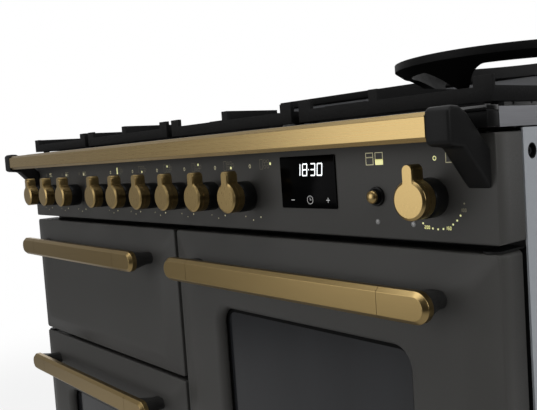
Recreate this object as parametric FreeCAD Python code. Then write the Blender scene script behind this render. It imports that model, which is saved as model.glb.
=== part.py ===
import FreeCAD, Part
import math
import os

# Range cooker with three doors, a storage drawer, ten knobs, a handrail and a gas hob.
# Millimetres. x runs from left to right, y from front to back, z upwards from the floor.
# The origin lies on the floor, under the middle of the overall box.

# Overall size
overall_width = 1092.0
overall_depth = 661.0
hob_height = 906.0
rail_reach = 61.0

# Shared construction sizes
sheet = 2.0
overrun = 1.0
seat_gap = 0.3
pin_clearance = 0.08

# Heights above and below the lower edge of the control panel
hob_rise = 127.9
hob_sheet = 2.0
deck_drop = 0.9
panel_height = 103.3
panel_depth = 44.0
door_top_gap = 8.5
doors_bottom_z = 99.6
door_gap = 7.0
short_door_share = 0.3454

# Columns, measured from the left edge
column_split = overall_width * 0.49386
column_gap = 7.4
door_side_gap = 1.6
frame_setback = 46.0

left_x = -overall_width / 2
right_x = overall_width / 2
front_y = -overall_depth / 2 + rail_reach
back_y = overall_depth / 2
panel_z = hob_height - hob_rise
panel_top_z = panel_z + panel_height
hob_deck_z = hob_height - hob_sheet - deck_drop
door_top_z = panel_z - door_top_gap
short_door_height = (door_top_z - doors_bottom_z - door_gap) * short_door_share
tall_door_height = door_top_z - doors_bottom_z - door_gap - short_door_height
frame_y = front_y + frame_setback
cavity_y = frame_y + sheet

left_door_x = (left_x + door_side_gap, left_x + column_split - column_gap / 2)
right_door_x = (left_x + column_split + column_gap / 2, right_x - door_side_gap)
grill_door_z = (door_top_z - short_door_height, door_top_z)
left_door_z = (doors_bottom_z, doors_bottom_z + tall_door_height)
right_door_z = (door_top_z - tall_door_height, door_top_z)
drawer_front_z = (doors_bottom_z, doors_bottom_z + short_door_height)


def vec(x, y, z):
    return FreeCAD.Vector(x, y, z)


X_AXIS = vec(1, 0, 0)
Y_AXIS = vec(0, 1, 0)
Z_AXIS = vec(0, 0, 1)


def box(x_range, y_range, z_range):
    corner = vec(x_range[0], y_range[0], z_range[0])
    return Part.makeBox(x_range[1] - x_range[0], y_range[1] - y_range[0], z_range[1] - z_range[0], corner)


def rod(start, end, radius):
    run = end - start
    return Part.makeCylinder(radius, run.Length, start, run)


def middle(pair):
    return (pair[0] + pair[1]) / 2


def grown(pair, margin):
    return (pair[0] - margin, pair[1] + margin)


def rounded_wire(x_range, z_range, y, radius):
    """Rounded rectangle that faces the front, at one depth."""
    x0, x1 = x_range
    z0, z1 = z_range
    bulge = radius * (1 - math.sqrt(0.5))
    points = [
        (vec(x0 + radius, y, z0), vec(x1 - radius, y, z0)),
        (vec(x1, y, z0 + radius), vec(x1, y, z1 - radius)),
        (vec(x1 - radius, y, z1), vec(x0 + radius, y, z1)),
        (vec(x0, y, z1 - radius), vec(x0, y, z0 + radius)),
    ]
    corners = [
        vec(x1 - bulge, y, z0 + bulge),
        vec(x1 - bulge, y, z1 - bulge),
        vec(x0 + bulge, y, z1 - bulge),
        vec(x0 + bulge, y, z0 + bulge),
    ]
    edges = []
    for index in range(len(points)):
        following = points[(index + 1) % len(points)]
        edges.append(Part.LineSegment(points[index][0], points[index][1]).toShape())
        edges.append(Part.Arc(points[index][1], corners[index], following[0]).toShape())
    return Part.Wire(edges)


def rounded_plate(x_range, z_range, y_range, radius):
    face = Part.Face(rounded_wire(x_range, z_range, y_range[0], radius))
    return face.extrude(vec(0, y_range[1] - y_range[0], 0))


def profile_x(points, x_range):
    """Prism along x from an outline of (y, z) points."""
    outline = [vec(x_range[0], y, z) for y, z in points]
    wire = Part.makePolygon(outline + outline[:1])
    return Part.Face(wire).extrude(vec(x_range[1] - x_range[0], 0, 0))


def turned_y(points, x, z):
    """Solid turned about a y axis from an outline of (radius, y) points."""
    outline = [vec(x + radius, y, z) for radius, y in points]
    wire = Part.makePolygon(outline + outline[:1])
    return Part.Face(wire).revolve(vec(x, points[0][1], z), Y_AXIS, 360)


def turned_z(points, x, y):
    """Solid turned about a z axis from an outline of (radius, z) points."""
    outline = [vec(x + radius, y, z) for radius, z in points]
    wire = Part.makePolygon(outline + outline[:1])
    return Part.Face(wire).revolve(vec(x, y, points[0][1]), Z_AXIS, 360)


def fuse(shapes):
    joined = shapes[0]
    if len(shapes) > 1:
        joined = shapes[0].multiFuse(shapes[1:])
    return joined.removeSplitter()


def group(shapes):
    solids = []
    for shape in shapes:
        solids.extend(shape.Solids)
    return Part.makeCompound(solids)


def pipe(points, radius, bend):
    """Tube along a path of straight runs joined by round bends."""
    edges = []
    start = points[0]
    for index in range(1, len(points) - 1):
        corner = points[index]
        back = (points[index - 1] - corner).normalize()
        ahead = (points[index + 1] - corner).normalize()
        bend_start, bend_end = corner + back * bend, corner + ahead * bend
        center = corner + (back + ahead) * bend
        bend_middle = center + (corner - center).normalize() * bend
        edges.append(Part.LineSegment(start, bend_start).toShape())
        edges.append(Part.Arc(bend_start, bend_middle, bend_end).toShape())
        start = bend_end
    edges.append(Part.LineSegment(start, points[-1]).toShape())
    run = points[1] - points[0]
    circle = Part.Wire(Part.makeCircle(radius, points[0], run))
    return Part.Wire(edges).makePipeShell([circle], True, False)


# Chassis, plinth and feet
base_z = 94.0
base_edge = 18.0
plinth_setback = 62.0
plinth_foot_gap = 12.0
foot_radius = 19.0
foot_rim = 4.5
foot_pad = 9.0
foot_nut_radius = 9.6
foot_nut_height = 9.0
foot_stem_radius = 6.0
foot_inset_x = 60.0
foot_inset_front = 100.0
foot_inset_back = 60.0
base_y = (cavity_y, back_y - sheet)
inner_x = (left_x + sheet, right_x - sheet)
partition_x = (left_x + column_split - sheet / 2, left_x + column_split + sheet / 2)


def plinth():
    x_range = grown(inner_x, -seat_gap)
    y_range = (front_y + plinth_setback, front_y + plinth_setback + sheet)
    board = box(x_range, y_range, (plinth_foot_gap, base_z))
    fold_z = (plinth_foot_gap, plinth_foot_gap + sheet)
    fold = box(x_range, (y_range[1] - sheet, y_range[1] + base_edge), fold_z)
    return fuse([board, fold])


def levelling_feet():
    feet = []
    for x in (left_x + foot_inset_x, right_x - foot_inset_x):
        for y in (front_y + foot_inset_front, back_y - foot_inset_back):
            pad_points = [
                (0, 0),
                (foot_radius, 0),
                (foot_radius, foot_rim),
                (foot_nut_radius, foot_pad),
                (foot_nut_radius, foot_pad + foot_nut_height),
                (foot_stem_radius, foot_pad + foot_nut_height),
                (foot_stem_radius, base_z),
                (0, base_z),
            ]
            feet.append(turned_z(pad_points, x, y))
    return group(feet)


def chassis():
    """Base tray with a lip front and back, a partition and the two walls of the drawer space."""
    tray = box(grown(inner_x, -seat_gap), base_y, (base_z, base_z + sheet))
    lip_z = (base_z + sheet, base_z + base_edge)
    lip = box(grown(inner_x, -seat_gap), (base_y[1] - sheet, base_y[1]), lip_z)
    front_lip = box(grown(inner_x, -seat_gap), (base_y[0], base_y[0] + sheet), lip_z)
    wall_y = grown(base_y, -sheet)
    partition = box(partition_x, wall_y, (base_z + sheet, panel_z))
    wall_z = (base_z + sheet, drawer_front_z[1])
    drawer_wall = box((drawer_side_x[1], drawer_side_x[1] + sheet), wall_y, wall_z)
    near_wall = box((drawer_side_x[0] - sheet, drawer_side_x[0]), wall_y, wall_z)
    return group([tray, lip, front_lip, partition, drawer_wall, near_wall])


# Outer casing
side_bottom_z = 12.0
side_fold = 16.0
side_top_gap = 1.5
screw_radius = 7.8
screw_head = 1.6
screw_length = 8.0
screw_drop = 19.6
screw_setback = 61.0
vent_slot_width = 60.0
vent_slot_height = 6.0
vent_slot_step = 90.0
vent_slot_pitch = 16.0
vent_top_drop = 48.0
vent_rows = 5
vent_columns = 6
inlet_radius = 10.5
inlet_length = 38.0
inlet_bore_radius = 7.0
inlet_bore_length = 20.0
inlet_inset_x = 120.0
anchor_hole_radius = 4.0
anchor_inset = 196.0
anchor_z = 640.0


def side_panel(outer_x, inward):
    top_z = side_trim_bottom_z - side_top_gap
    x_range = tuple(sorted((outer_x, outer_x + inward * sheet)))
    fold_x = tuple(sorted((outer_x, outer_x + inward * side_fold)))
    wall = box(x_range, (frame_y, back_y), (side_bottom_z, top_z))
    back_fold = box(fold_x, (back_y - sheet, back_y), (side_bottom_z, top_z))
    front_fold = box(fold_x, (frame_y, frame_y + sheet), (panel_z, panel_top_z))
    return fuse([wall, back_fold, front_fold])


def side_screw(outer_x, inward, bored):
    """Screw low in a dished hole near the front edge of a side panel, or the hole itself."""
    y = front_y + screw_setback
    z = panel_top_z - screw_drop
    if bored:
        start, end = outer_x - inward * overrun, outer_x + inward * (sheet + overrun)
        return rod(vec(start, y, z), vec(end, y, z), screw_radius)
    start = vec(outer_x + inward * (sheet - screw_head), y, z)
    return rod(start, vec(outer_x + inward * screw_length, y, z), screw_radius)


def side_panels():
    pieces = []
    for outer_x, inward in ((left_x, 1), (right_x, -1)):
        pieces.append(side_panel(outer_x, inward).cut(side_screw(outer_x, inward, True)))
        pieces.append(side_screw(outer_x, inward, False))
    return group(pieces)


def back_panel():
    x_range = (left_x + side_fold + seat_gap, right_x - side_fold - seat_gap)
    z_range = (base_z, hob_deck_z)
    sheet_y = (back_y - sheet, back_y)
    panel = box(x_range, sheet_y, z_range)
    cuts = []
    field_width = (vent_columns - 1) * vent_slot_step
    field_top = z_range[1] - vent_top_drop
    for row in range(vent_rows):
        for column in range(vent_columns):
            x = -field_width / 2 + column * vent_slot_step
            z = field_top - row * vent_slot_pitch
            slot_x = (x - vent_slot_width / 2, x + vent_slot_width / 2)
            cuts.append(box(slot_x, grown(sheet_y, overrun), (z, z + vent_slot_height)))
    for x in (left_x + anchor_inset, right_x - anchor_inset):
        start = vec(x, sheet_y[0] - overrun, anchor_z)
        cuts.append(rod(start, vec(x, sheet_y[1] + overrun, anchor_z), anchor_hole_radius))
    inlet = inlet_place()
    hole_start = vec(inlet.x, sheet_y[0] - overrun, inlet.z)
    cuts.append(rod(hole_start, vec(inlet.x, sheet_y[1] + overrun, inlet.z), inlet_radius + seat_gap))
    return panel.cut(cuts)


def inlet_place():
    return vec(right_x - inlet_inset_x, back_y, panel_z + knob_rise)


# Front frame behind the doors
opening_side_margin = 52.0
grill_opening_bottom = 40.0
oven_opening_bottom = 45.0
drawer_opening_bottom = 17.0
grill_seal_lift = 7.0
grill_opening_top = 38.0
oven_opening_top = 54.0
drawer_opening_top = 16.0
drawer_side_clearance = 4.0
drawer_opening_margin = 27.7
left_middle = middle(left_door_x)
right_middle = middle(right_door_x)
opening_width = left_door_x[1] - left_door_x[0] - opening_side_margin * 2
drawer_side_x = grown(right_door_x, -drawer_opening_margin)


def opening(center, z_range, top_margin, bottom_margin):
    x_range = (center - opening_width / 2, center + opening_width / 2)
    return (x_range, (z_range[0] + bottom_margin, z_range[1] - top_margin))


grill_opening = opening(left_middle, grill_door_z, grill_opening_top, grill_opening_bottom + grill_seal_lift)
left_opening = opening(left_middle, left_door_z, oven_opening_top, oven_opening_bottom)
right_opening = opening(right_middle, right_door_z, oven_opening_top, oven_opening_bottom)
drawer_opening = (
    drawer_side_x, (drawer_front_z[0] + drawer_opening_bottom, drawer_front_z[1] - drawer_opening_top)
)


def framed_column(x_range, openings):
    """Rails and stiles round the openings of one column, from the lowest up."""
    y_range = (frame_y, cavity_y)
    strips = []
    low_z = doors_bottom_z
    for opening_x, opening_z in openings:
        strips.append(box(x_range, y_range, (low_z, opening_z[0])))
        strips.append(box((x_range[0], opening_x[0]), y_range, opening_z))
        strips.append(box((opening_x[1], x_range[1]), y_range, opening_z))
        low_z = opening_z[1]
    strips.append(box(x_range, y_range, (low_z, panel_z)))
    return strips


def front_frame():
    """Strips welded edge to edge."""
    outer_x = grown(inner_x, -seat_gap)
    split_x = left_x + column_split
    left_strips = framed_column((outer_x[0], split_x), (left_opening, grill_opening))
    right_strips = framed_column((split_x, outer_x[1]), (drawer_opening, right_opening))
    return group(left_strips + right_strips)


# Cavities with insulation, seals, racks and elements
oven_back_space = 110.0
grill_back_space = 150.0
oven_depth = back_y - oven_back_space - cavity_y
grill_depth = back_y - grill_back_space - cavity_y
cavity_flange = 14.0
insulation = 18.0
seal_width = 9.0
seal_margin = 6.0
seal_corner = 18.0
wire_radius = 2.5
rack_wire_radius = 1.5
rack_wires = 11
rack_level_shares = (0.3, 0.62)
ladder_stand = 10.0
ladder_end_share = 0.14
ladder_front_gap = 20.0
ladder_back_gap = 30.0
element_radius = 3.5
element_bend = 12.0
element_drop = 14.0
element_side_gap = 50.0
element_front_gap = 50.0
element_back_gap = 60.0
element_runs = 4
fan_radius = 62.0
fan_hub_radius = 11.0
fan_shaft_radius = 3.0
fan_blades = 12
fan_blade_depth = 16.0
fan_blade_shares = (0.45, 0.97)
fan_wall_gap = 6.0
baffle_stand = 34.0
baffle_size = 220.0
baffle_hole_radius = 52.0
motor_radius = 34.0
motor_length = 46.0
motor_stand = 6.0
motor_mount_radius = 27.0
pan_height = 34.0
pan_side_gap = 22.0
pan_lip = 8.0
pan_floor_gap = 30.0


def cavity(place, depth):
    x_range, z_range = place
    y_range = (cavity_y, cavity_y + depth)
    outer = box(grown(x_range, sheet), y_range, grown(z_range, sheet))
    inner = box(x_range, (y_range[0] - overrun, y_range[1] - sheet), z_range)
    flange = box(grown(x_range, cavity_flange), (cavity_y, cavity_y + sheet), grown(z_range, cavity_flange))
    flange_hole = box(x_range, (cavity_y - overrun, cavity_y + sheet + overrun), z_range)
    return fuse([outer.cut(inner), flange.cut(flange_hole)])


def wrap(place, depth):
    x_range, z_range = place
    gap = sheet + seat_gap
    front = cavity_y + sheet + seat_gap
    back = cavity_y + depth + seat_gap
    wrap = gap + insulation
    outer = box(grown(x_range, wrap), (front, back + insulation), grown(z_range, wrap))
    inner = box(grown(x_range, gap), (front - overrun, back), grown(z_range, gap))
    return outer.cut(inner)


def grill_cavity():
    return cavity(grill_opening, grill_depth)


def left_oven_cavity():
    return cavity(left_opening, oven_depth)


def fan_center():
    return vec(right_middle, cavity_y + oven_depth, middle(right_opening[1]))


def right_oven_cavity():
    center = fan_center()
    shell = cavity(right_opening, oven_depth)
    hole_start = center - Y_AXIS * (sheet + overrun)
    shell = shell.cut(rod(hole_start, center + Y_AXIS * overrun, fan_shaft_radius + seat_gap))
    motor_start = center + Y_AXIS * motor_stand
    motor = rod(motor_start, motor_start + Y_AXIS * motor_length, motor_radius)
    mount = rod(center, motor_start, motor_mount_radius)
    motor = fuse([motor, mount])
    bore_end = motor_start + Y_AXIS * sheet
    motor = motor.cut(rod(center - Y_AXIS * overrun, bore_end, fan_shaft_radius + seat_gap))
    x_range = (center.x - baffle_size / 2, center.x + baffle_size / 2)
    z_range = (center.z - baffle_size / 2, center.z + baffle_size / 2)
    wall_y = center.y - sheet
    baffle = box(x_range, (wall_y - baffle_stand, wall_y), z_range)
    hollow_y = (wall_y - baffle_stand + sheet, wall_y + overrun)
    hollow = box(grown(x_range, -sheet), hollow_y, grown(z_range, -sheet))
    baffle = baffle.cut(hollow)
    intake_start = vec(center.x, wall_y - baffle_stand - overrun, center.z)
    intake_end = vec(center.x, wall_y - baffle_stand + sheet + overrun, center.z)
    baffle = baffle.cut(rod(intake_start, intake_end, baffle_hole_radius))
    return group([shell, motor, baffle])


def oven_fan():
    center = fan_center()
    wall_y = center.y - sheet
    disc_y = wall_y - fan_wall_gap
    disc = rod(vec(center.x, disc_y - sheet, center.z), vec(center.x, disc_y, center.z), fan_radius)
    hub_start = vec(center.x, disc_y - fan_blade_depth, center.z)
    hub = rod(hub_start, vec(center.x, disc_y, center.z), fan_hub_radius)
    shaft = rod(vec(center.x, disc_y, center.z), center + Y_AXIS * motor_stand, fan_shaft_radius)
    blades = []
    for index in range(fan_blades):
        blade = box(
            (center.x + fan_radius * fan_blade_shares[0], center.x + fan_radius * fan_blade_shares[1]),
            (disc_y - fan_blade_depth, disc_y - sheet),
            (center.z - sheet / 2, center.z + sheet / 2),
        )
        blade.rotate(center, Y_AXIS, index * 360 / fan_blades)
        blades.append(blade)
    return fuse([disc, hub, shaft] + blades)


def oven_insulation():
    right_wrap = wrap(right_opening, oven_depth)
    center = fan_center()
    well = rod(center, center + Y_AXIS * (insulation + sheet + overrun), motor_radius + seat_gap)
    return group([wrap(grill_opening, grill_depth), wrap(left_opening, oven_depth), right_wrap.cut(well)])


def seal(place):
    x_range, z_range = place
    y_range = (front_y + door_fold + seat_gap, frame_y)
    outer = rounded_plate(
        grown(x_range, seal_margin + seal_width),
        grown(z_range, seal_margin + seal_width),
        y_range,
        seal_corner,
    )
    inner_y = (y_range[0] - overrun, y_range[1] + overrun)
    inner = rounded_plate(
        grown(x_range, seal_margin), grown(z_range, seal_margin), inner_y, seal_corner - seal_width
    )
    return outer.cut(inner)


def door_seals():
    return group([seal(grill_opening), seal(left_opening), seal(right_opening)])


def rack(place, depth, share):
    x_range = grown(place[0], -ladder_stand - wire_radius)
    z = place[1][0] + (place[1][1] - place[1][0]) * share
    y_range = (cavity_y + ladder_stand, cavity_y + depth - baffle_stand - ladder_stand)
    corners = [
        vec(x_range[0], y_range[0], z),
        vec(x_range[1], y_range[0], z),
        vec(x_range[1], y_range[1], z),
        vec(x_range[0], y_range[1], z),
    ]
    parts = []
    for index in range(len(corners)):
        parts.append(rod(corners[index], corners[(index + 1) % len(corners)], wire_radius))
        parts.append(Part.makeSphere(wire_radius, corners[index]))
    step = (x_range[1] - x_range[0]) / (rack_wires + 1)
    for index in range(rack_wires):
        x = x_range[0] + step * (index + 1)
        parts.append(rod(vec(x, y_range[0], z), vec(x, y_range[1], z), rack_wire_radius))
    return fuse(parts)


def ladder(place, depth, side):
    """Wire ladder that hangs on one side wall and carries the racks."""
    wall_x = place[0][side]
    inward = 1 if side == 0 else -1
    x = wall_x + inward * wire_radius
    rail_x = wall_x + inward * (ladder_stand - wire_radius)
    z_low, z_high = place[1]
    height = z_high - z_low
    y_range = (cavity_y + ladder_front_gap, cavity_y + depth - baffle_stand - ladder_back_gap)
    parts = []
    end_gap = height * ladder_end_share
    for y in y_range:
        parts.append(rod(vec(x, y, z_low + end_gap), vec(x, y, z_high - end_gap), wire_radius))
    for share in rack_level_shares:
        z = z_low + height * share - wire_radius * 2
        low = rod(vec(x, y_range[0], z), vec(x, y_range[1], z), wire_radius)
        shelf = box(
            tuple(sorted((wall_x, rail_x + inward * wire_radius * 2))),
            (y_range[0], y_range[1]),
            (z - wire_radius, z + wire_radius),
        )
        parts.extend([low, shelf])
    return fuse(parts)


def oven_racks():
    pieces = []
    for place in (left_opening, right_opening):
        for share in rack_level_shares:
            pieces.append(rack(place, oven_depth, share))
        pieces.append(ladder(place, oven_depth, 0))
        pieces.append(ladder(place, oven_depth, 1))
    return group(pieces)


def grill_pan():
    x_range = grown(grill_opening[0], -pan_side_gap)
    y_range = (cavity_y + pan_side_gap, cavity_y + grill_depth - pan_side_gap)
    floor_z = grill_opening[1][0] + pan_floor_gap
    z_range = (floor_z, floor_z + pan_height)
    outer = box(x_range, y_range, z_range)
    hollow = box(grown(x_range, -sheet), grown(y_range, -sheet), (floor_z + sheet, z_range[1] + overrun))
    rim_z = (z_range[1] - sheet, z_range[1])
    rim = box(grown(x_range, pan_lip), y_range, rim_z)
    rim = rim.cut(box(grown(x_range, -sheet), grown(y_range, -sheet), grown(rim_z, overrun)))
    pan = fuse([outer.cut(hollow), rim])
    wires = []
    trivet_z = floor_z + sheet + wire_radius
    step = (x_range[1] - x_range[0] - sheet * 2) / (rack_wires + 1)
    inside_y = grown(y_range, -sheet - wire_radius)
    for y in inside_y:
        start = vec(x_range[0] + sheet + wire_radius, y, trivet_z)
        wires.append(rod(start, vec(x_range[1] - sheet - wire_radius, y, trivet_z), wire_radius))
    for index in range(rack_wires):
        x = x_range[0] + sheet + step * (index + 1)
        wires.append(rod(vec(x, inside_y[0], trivet_z), vec(x, inside_y[1], trivet_z), rack_wire_radius))
    return group([pan, fuse(wires)] + [pan_rail(side, rim_z[0]) for side in (0, 1)])


def pan_rail(side, top_z):
    """Ledge on the side wall of the grill that the rim of the pan hangs on."""
    wall_x = grill_opening[0][side]
    inward = 1 if side == 0 else -1
    edge_x = wall_x + inward * (pan_side_gap - seat_gap)
    x_range = tuple(sorted((wall_x, edge_x)))
    y_range = (cavity_y + pan_side_gap, cavity_y + grill_depth - pan_side_gap)
    return box(x_range, y_range, (top_z - sheet, top_z))


def element(place, depth):
    """Winding tube under the roof of a cavity, with both ends through the back wall."""
    x_range = grown(place[0], -element_side_gap)
    back = cavity_y + depth - sheet
    y_near = cavity_y + element_front_gap
    y_far = back - element_back_gap
    z = place[1][1] - element_drop
    step = (x_range[1] - x_range[0]) / (element_runs - 1)
    points = [vec(x_range[0], back, z)]
    for index in range(element_runs):
        x = x_range[0] + step * index
        near, far = vec(x, y_near, z), vec(x, y_far, z)
        points.extend([far, near] if index % 2 == 0 else [near, far])
    points.append(vec(x_range[1], back, z))
    del points[1]
    del points[-2]
    return pipe(points, element_radius, element_bend)


def heating_elements():
    return group([element(grill_opening, grill_depth), element(left_opening, oven_depth)])


# Doors and drawer
door_fold = 38.0
door_raise = 9.0
door_border = 40.0
door_low_border = 30.0
door_edge_radius = 5.0
raise_radius = 16.0
window_border = 106.0
window_top_border = 104.0
window_radius = 22.0
window_reveal = 14.0
window_wall = 3.0
pane_thickness = 4.0
pane_lap = 10.0
hinge_depth = 10.0
hinge_inset = 12.0
hinge_pin_radius = 3.5
hinge_plate = 2.0
hinge_plate_width = 20.0
hinge_leg = 26.0
hinge_pin_length = 15.0
lug_inset = 22.0
lug_width = 5.0
lug_half_height = 6.0
lug_foot_spread = 6.5
ear_width = 4.0
grill_liner_lift = 8.0
handle_end_inset = 43.0
handle_drop = 46.3
handle_height = 32.0
handle_reach = 55.0
handle_bar_depth = 12.0
handle_chamfer = 4.4
handle_end_length = 60.0
post_inset = 2.5
post_front_length = 44.0
post_front_height = 27.0
post_foot_length = 28.0
post_foot_height = 19.0


def pressed_form(x_range, z_range, inset):
    """Door skin as a solid: a raised middle, a sloping border and folded edges, less an inset all round."""
    outer_x, outer_z = grown(x_range, -inset), grown(z_range, -inset)
    raised_x = grown(x_range, -door_border - inset)
    raised_z = (z_range[0] + door_low_border + inset, z_range[1] - door_border - inset)
    edge_y, top_y, back = front_y + inset, front_y - door_raise + inset, front_y + door_fold
    if inset > 0:
        back += overrun
    edge_radius = door_edge_radius
    slope = Part.makeLoft(
        [
            rounded_wire(outer_x, outer_z, edge_y, edge_radius),
            rounded_wire(raised_x, raised_z, top_y, raise_radius),
        ],
        True,
        True,
    )
    body = rounded_plate(outer_x, outer_z, (edge_y, back), edge_radius)
    return fuse([body, slope])


def window_place(x_range, z_range):
    z_low = z_range[0] + window_border
    return grown(x_range, -window_border), (z_low, z_range[1] - window_top_border)


def door_skin(x_range, z_range, has_window):
    outer = pressed_form(x_range, z_range, 0)
    inner = pressed_form(x_range, z_range, sheet)
    if not has_window:
        return outer.cut(inner)
    window_x, window_z = window_place(x_range, z_range)
    reveal_y = (front_y - door_raise, front_y - door_raise + window_reveal)
    collar = rounded_plate(
        grown(window_x, window_wall), grown(window_z, window_wall), reveal_y, window_radius + window_wall
    )
    hole = rounded_plate(window_x, window_z, grown(reveal_y, overrun), window_radius)
    return outer.cut(inner.cut(collar)).cut(hole)


def hinge_hole(x, z_range):
    y = front_y + hinge_depth
    low_end, high_end = vec(x, y, z_range[0] - overrun), vec(x, y, z_range[1] + overrun)
    return rod(low_end, high_end, hinge_pin_radius + pin_clearance)


def bush(x, z_range):
    """Bearing block inside the door that a hinge pin turns in."""
    y = front_y + hinge_depth
    half = hinge_inset - sheet - seat_gap
    block = box((x - half, x + half), (front_y + sheet + seat_gap, front_y + door_fold - sheet), z_range)
    return block.cut(hinge_hole(x, z_range))


def lug_notch(x, z_low):
    """Slot in the lower edge of the grill door that lets it swing round its hinge lug."""
    x_range = (x - lug_width / 2 - overrun, x + lug_width / 2 + overrun)
    y_range = (front_y + hinge_depth - lug_half_height - overrun, frame_y)
    return box(x_range, y_range, (z_low - overrun, z_low + hinge_inset + lug_half_height + overrun))


def lug_places():
    return (left_door_x[0] + lug_inset, left_door_x[1] - lug_inset)


def grill_door_panel():
    skin = door_skin(left_door_x, grill_door_z, False)
    return skin.cut([lug_notch(x, grill_door_z[0]) for x in lug_places()])


def hinge_x(column):
    return left_door_x[0] + hinge_inset if column == "left" else right_door_x[1] - hinge_inset


def left_door_panel():
    return door_skin(left_door_x, left_door_z, True).cut(hinge_hole(hinge_x("left"), left_door_z))


def right_door_panel():
    return door_skin(right_door_x, right_door_z, True).cut(hinge_hole(hinge_x("right"), right_door_z))


def panes(x_range, z_range):
    window_x, window_z = window_place(x_range, z_range)
    outer_y = front_y - door_raise + window_reveal
    pane_x, pane_z = grown(window_x, pane_lap), grown(window_z, pane_lap)
    outer_pane = box(pane_x, (outer_y, outer_y + pane_thickness), pane_z)
    inner_y = front_y + door_fold - sheet - pane_thickness
    inner_pane = box(pane_x, (inner_y, inner_y + pane_thickness), pane_z)
    return group([outer_pane, inner_pane])


def left_door_glass():
    return panes(left_door_x, left_door_z)


def right_door_glass():
    return panes(right_door_x, right_door_z)


def liner_plate(x_range, z_range):
    plate_y = (front_y + door_fold - sheet, front_y + door_fold)
    gap = sheet + seat_gap
    return rounded_plate(grown(x_range, -gap), grown(z_range, -gap), plate_y, door_edge_radius)


def hung_liner(x_range, z_range, x_hinge):
    window_x, window_z = window_place(x_range, z_range)
    plate_y = (front_y + door_fold - sheet, front_y + door_fold)
    plate = liner_plate(x_range, z_range)
    plate = plate.cut(rounded_plate(window_x, window_z, grown(plate_y, overrun), window_radius))
    low = (z_range[0] + sheet + seat_gap, z_range[0] + sheet + hinge_leg)
    high = (z_range[1] - sheet - hinge_leg, z_range[1] - sheet - seat_gap)
    bushes = fuse([bush(x_hinge, low), bush(x_hinge, high)])
    gap = sheet + seat_gap
    inside = rounded_plate(
        grown(x_range, -gap), grown(z_range, -gap), (front_y, front_y + door_fold), door_edge_radius
    )
    return fuse([plate, bushes.common(inside)])


def left_door_liner():
    return hung_liner(left_door_x, left_door_z, hinge_x("left"))


def right_door_liner():
    return hung_liner(right_door_x, right_door_z, hinge_x("right"))


def grill_door_liner():
    plate = liner_plate(left_door_x, (grill_door_z[0] + grill_liner_lift, grill_door_z[1]))
    ears = []
    hinge_z = grill_door_z[0] + hinge_inset
    hinge_y = front_y + hinge_depth
    for x in lug_places():
        side = 1 if x < left_middle else -1
        near = x + side * (lug_width / 2 + seat_gap)
        x_range = tuple(sorted((near, near + side * ear_width)))
        ear_y = (hinge_y - lug_half_height, front_y + door_fold)
        ear_z = (grill_door_z[0] + sheet + seat_gap, hinge_z + hinge_leg)
        ear = box(x_range, ear_y, ear_z)
        hole = rod(vec(x_range[0] - overrun, hinge_y, hinge_z), vec(x_range[1] + overrun, hinge_y, hinge_z),
                   hinge_pin_radius + pin_clearance)
        ears.append(ear.cut(hole))
    plate = plate.cut([lug_notch(x, grill_door_z[0]) for x in lug_places()])
    return fuse([plate] + ears)


def lug(x):
    """Plate on the frame with the pin that one side of the grill door turns on."""
    hinge_z = grill_door_z[0] + hinge_inset
    hinge_y = front_y + hinge_depth
    x_range = (x - lug_width / 2, x + lug_width / 2)
    arm = box(x_range, (hinge_y, frame_y), (hinge_z - lug_half_height, hinge_z + lug_half_height))
    nose = rod(vec(x_range[0], hinge_y, hinge_z), vec(x_range[1], hinge_y, hinge_z), lug_half_height)
    side = 1 if x < left_middle else -1
    pin_end = x + side * (lug_width / 2 + seat_gap + ear_width + sheet)
    pin = rod(vec(x, hinge_y, hinge_z), vec(pin_end, hinge_y, hinge_z), hinge_pin_radius)
    foot_z = (hinge_z - lug_half_height, hinge_z + hinge_leg)
    foot = box(grown(x_range, lug_foot_spread), (frame_y - sheet, frame_y), foot_z)
    return fuse([arm, nose, pin, foot])


def hinge_bracket(x, edge_z, direction):
    """Angle plate in the gap above or below a side-hung door, with its pin in the door's edge."""
    y = front_y + hinge_depth
    half = hinge_plate_width / 2
    inward = 1 if x < 0 else -1
    x_range = (x - half, x + half)
    near, far = edge_z + direction * seat_gap, edge_z + direction * (seat_gap + hinge_plate)
    plate = box(x_range, (y, frame_y), tuple(sorted((near, far))))
    nose = rod(vec(x, y, near), vec(x, y, far), half)
    leg_end = edge_z - direction * hinge_leg
    leg_x = (x + inward * half - half, x + inward * half + half)
    leg = box(leg_x, (frame_y - hinge_plate, frame_y), tuple(sorted((far, leg_end))))
    pin = rod(vec(x, y, near), vec(x, y, edge_z - direction * hinge_pin_length), hinge_pin_radius)
    return fuse([plate, nose, leg, pin])


def hinge_brackets():
    pieces = [lug(x) for x in lug_places()]
    for column, z_range in (("left", left_door_z), ("right", right_door_z)):
        x = hinge_x(column)
        pieces.append(hinge_bracket(x, z_range[1], 1))
        pieces.append(hinge_bracket(x, z_range[0], -1))
    return group(pieces)


def stadium_wire(x_range, z_range, y):
    """Outline with straight top and bottom and round ends, at one depth."""
    z = middle(z_range)
    radius = (z_range[1] - z_range[0]) / 2
    low, high = x_range[0] + radius, x_range[1] - radius
    edges = [
        Part.LineSegment(vec(low, y, z_range[0]), vec(high, y, z_range[0])).toShape(),
        Part.Arc(vec(high, y, z_range[0]), vec(x_range[1], y, z), vec(high, y, z_range[1])).toShape(),
        Part.LineSegment(vec(high, y, z_range[1]), vec(low, y, z_range[1])).toShape(),
        Part.Arc(vec(low, y, z_range[1]), vec(x_range[0], y, z), vec(low, y, z_range[0])).toShape(),
    ]
    return Part.Wire(edges)


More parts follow.
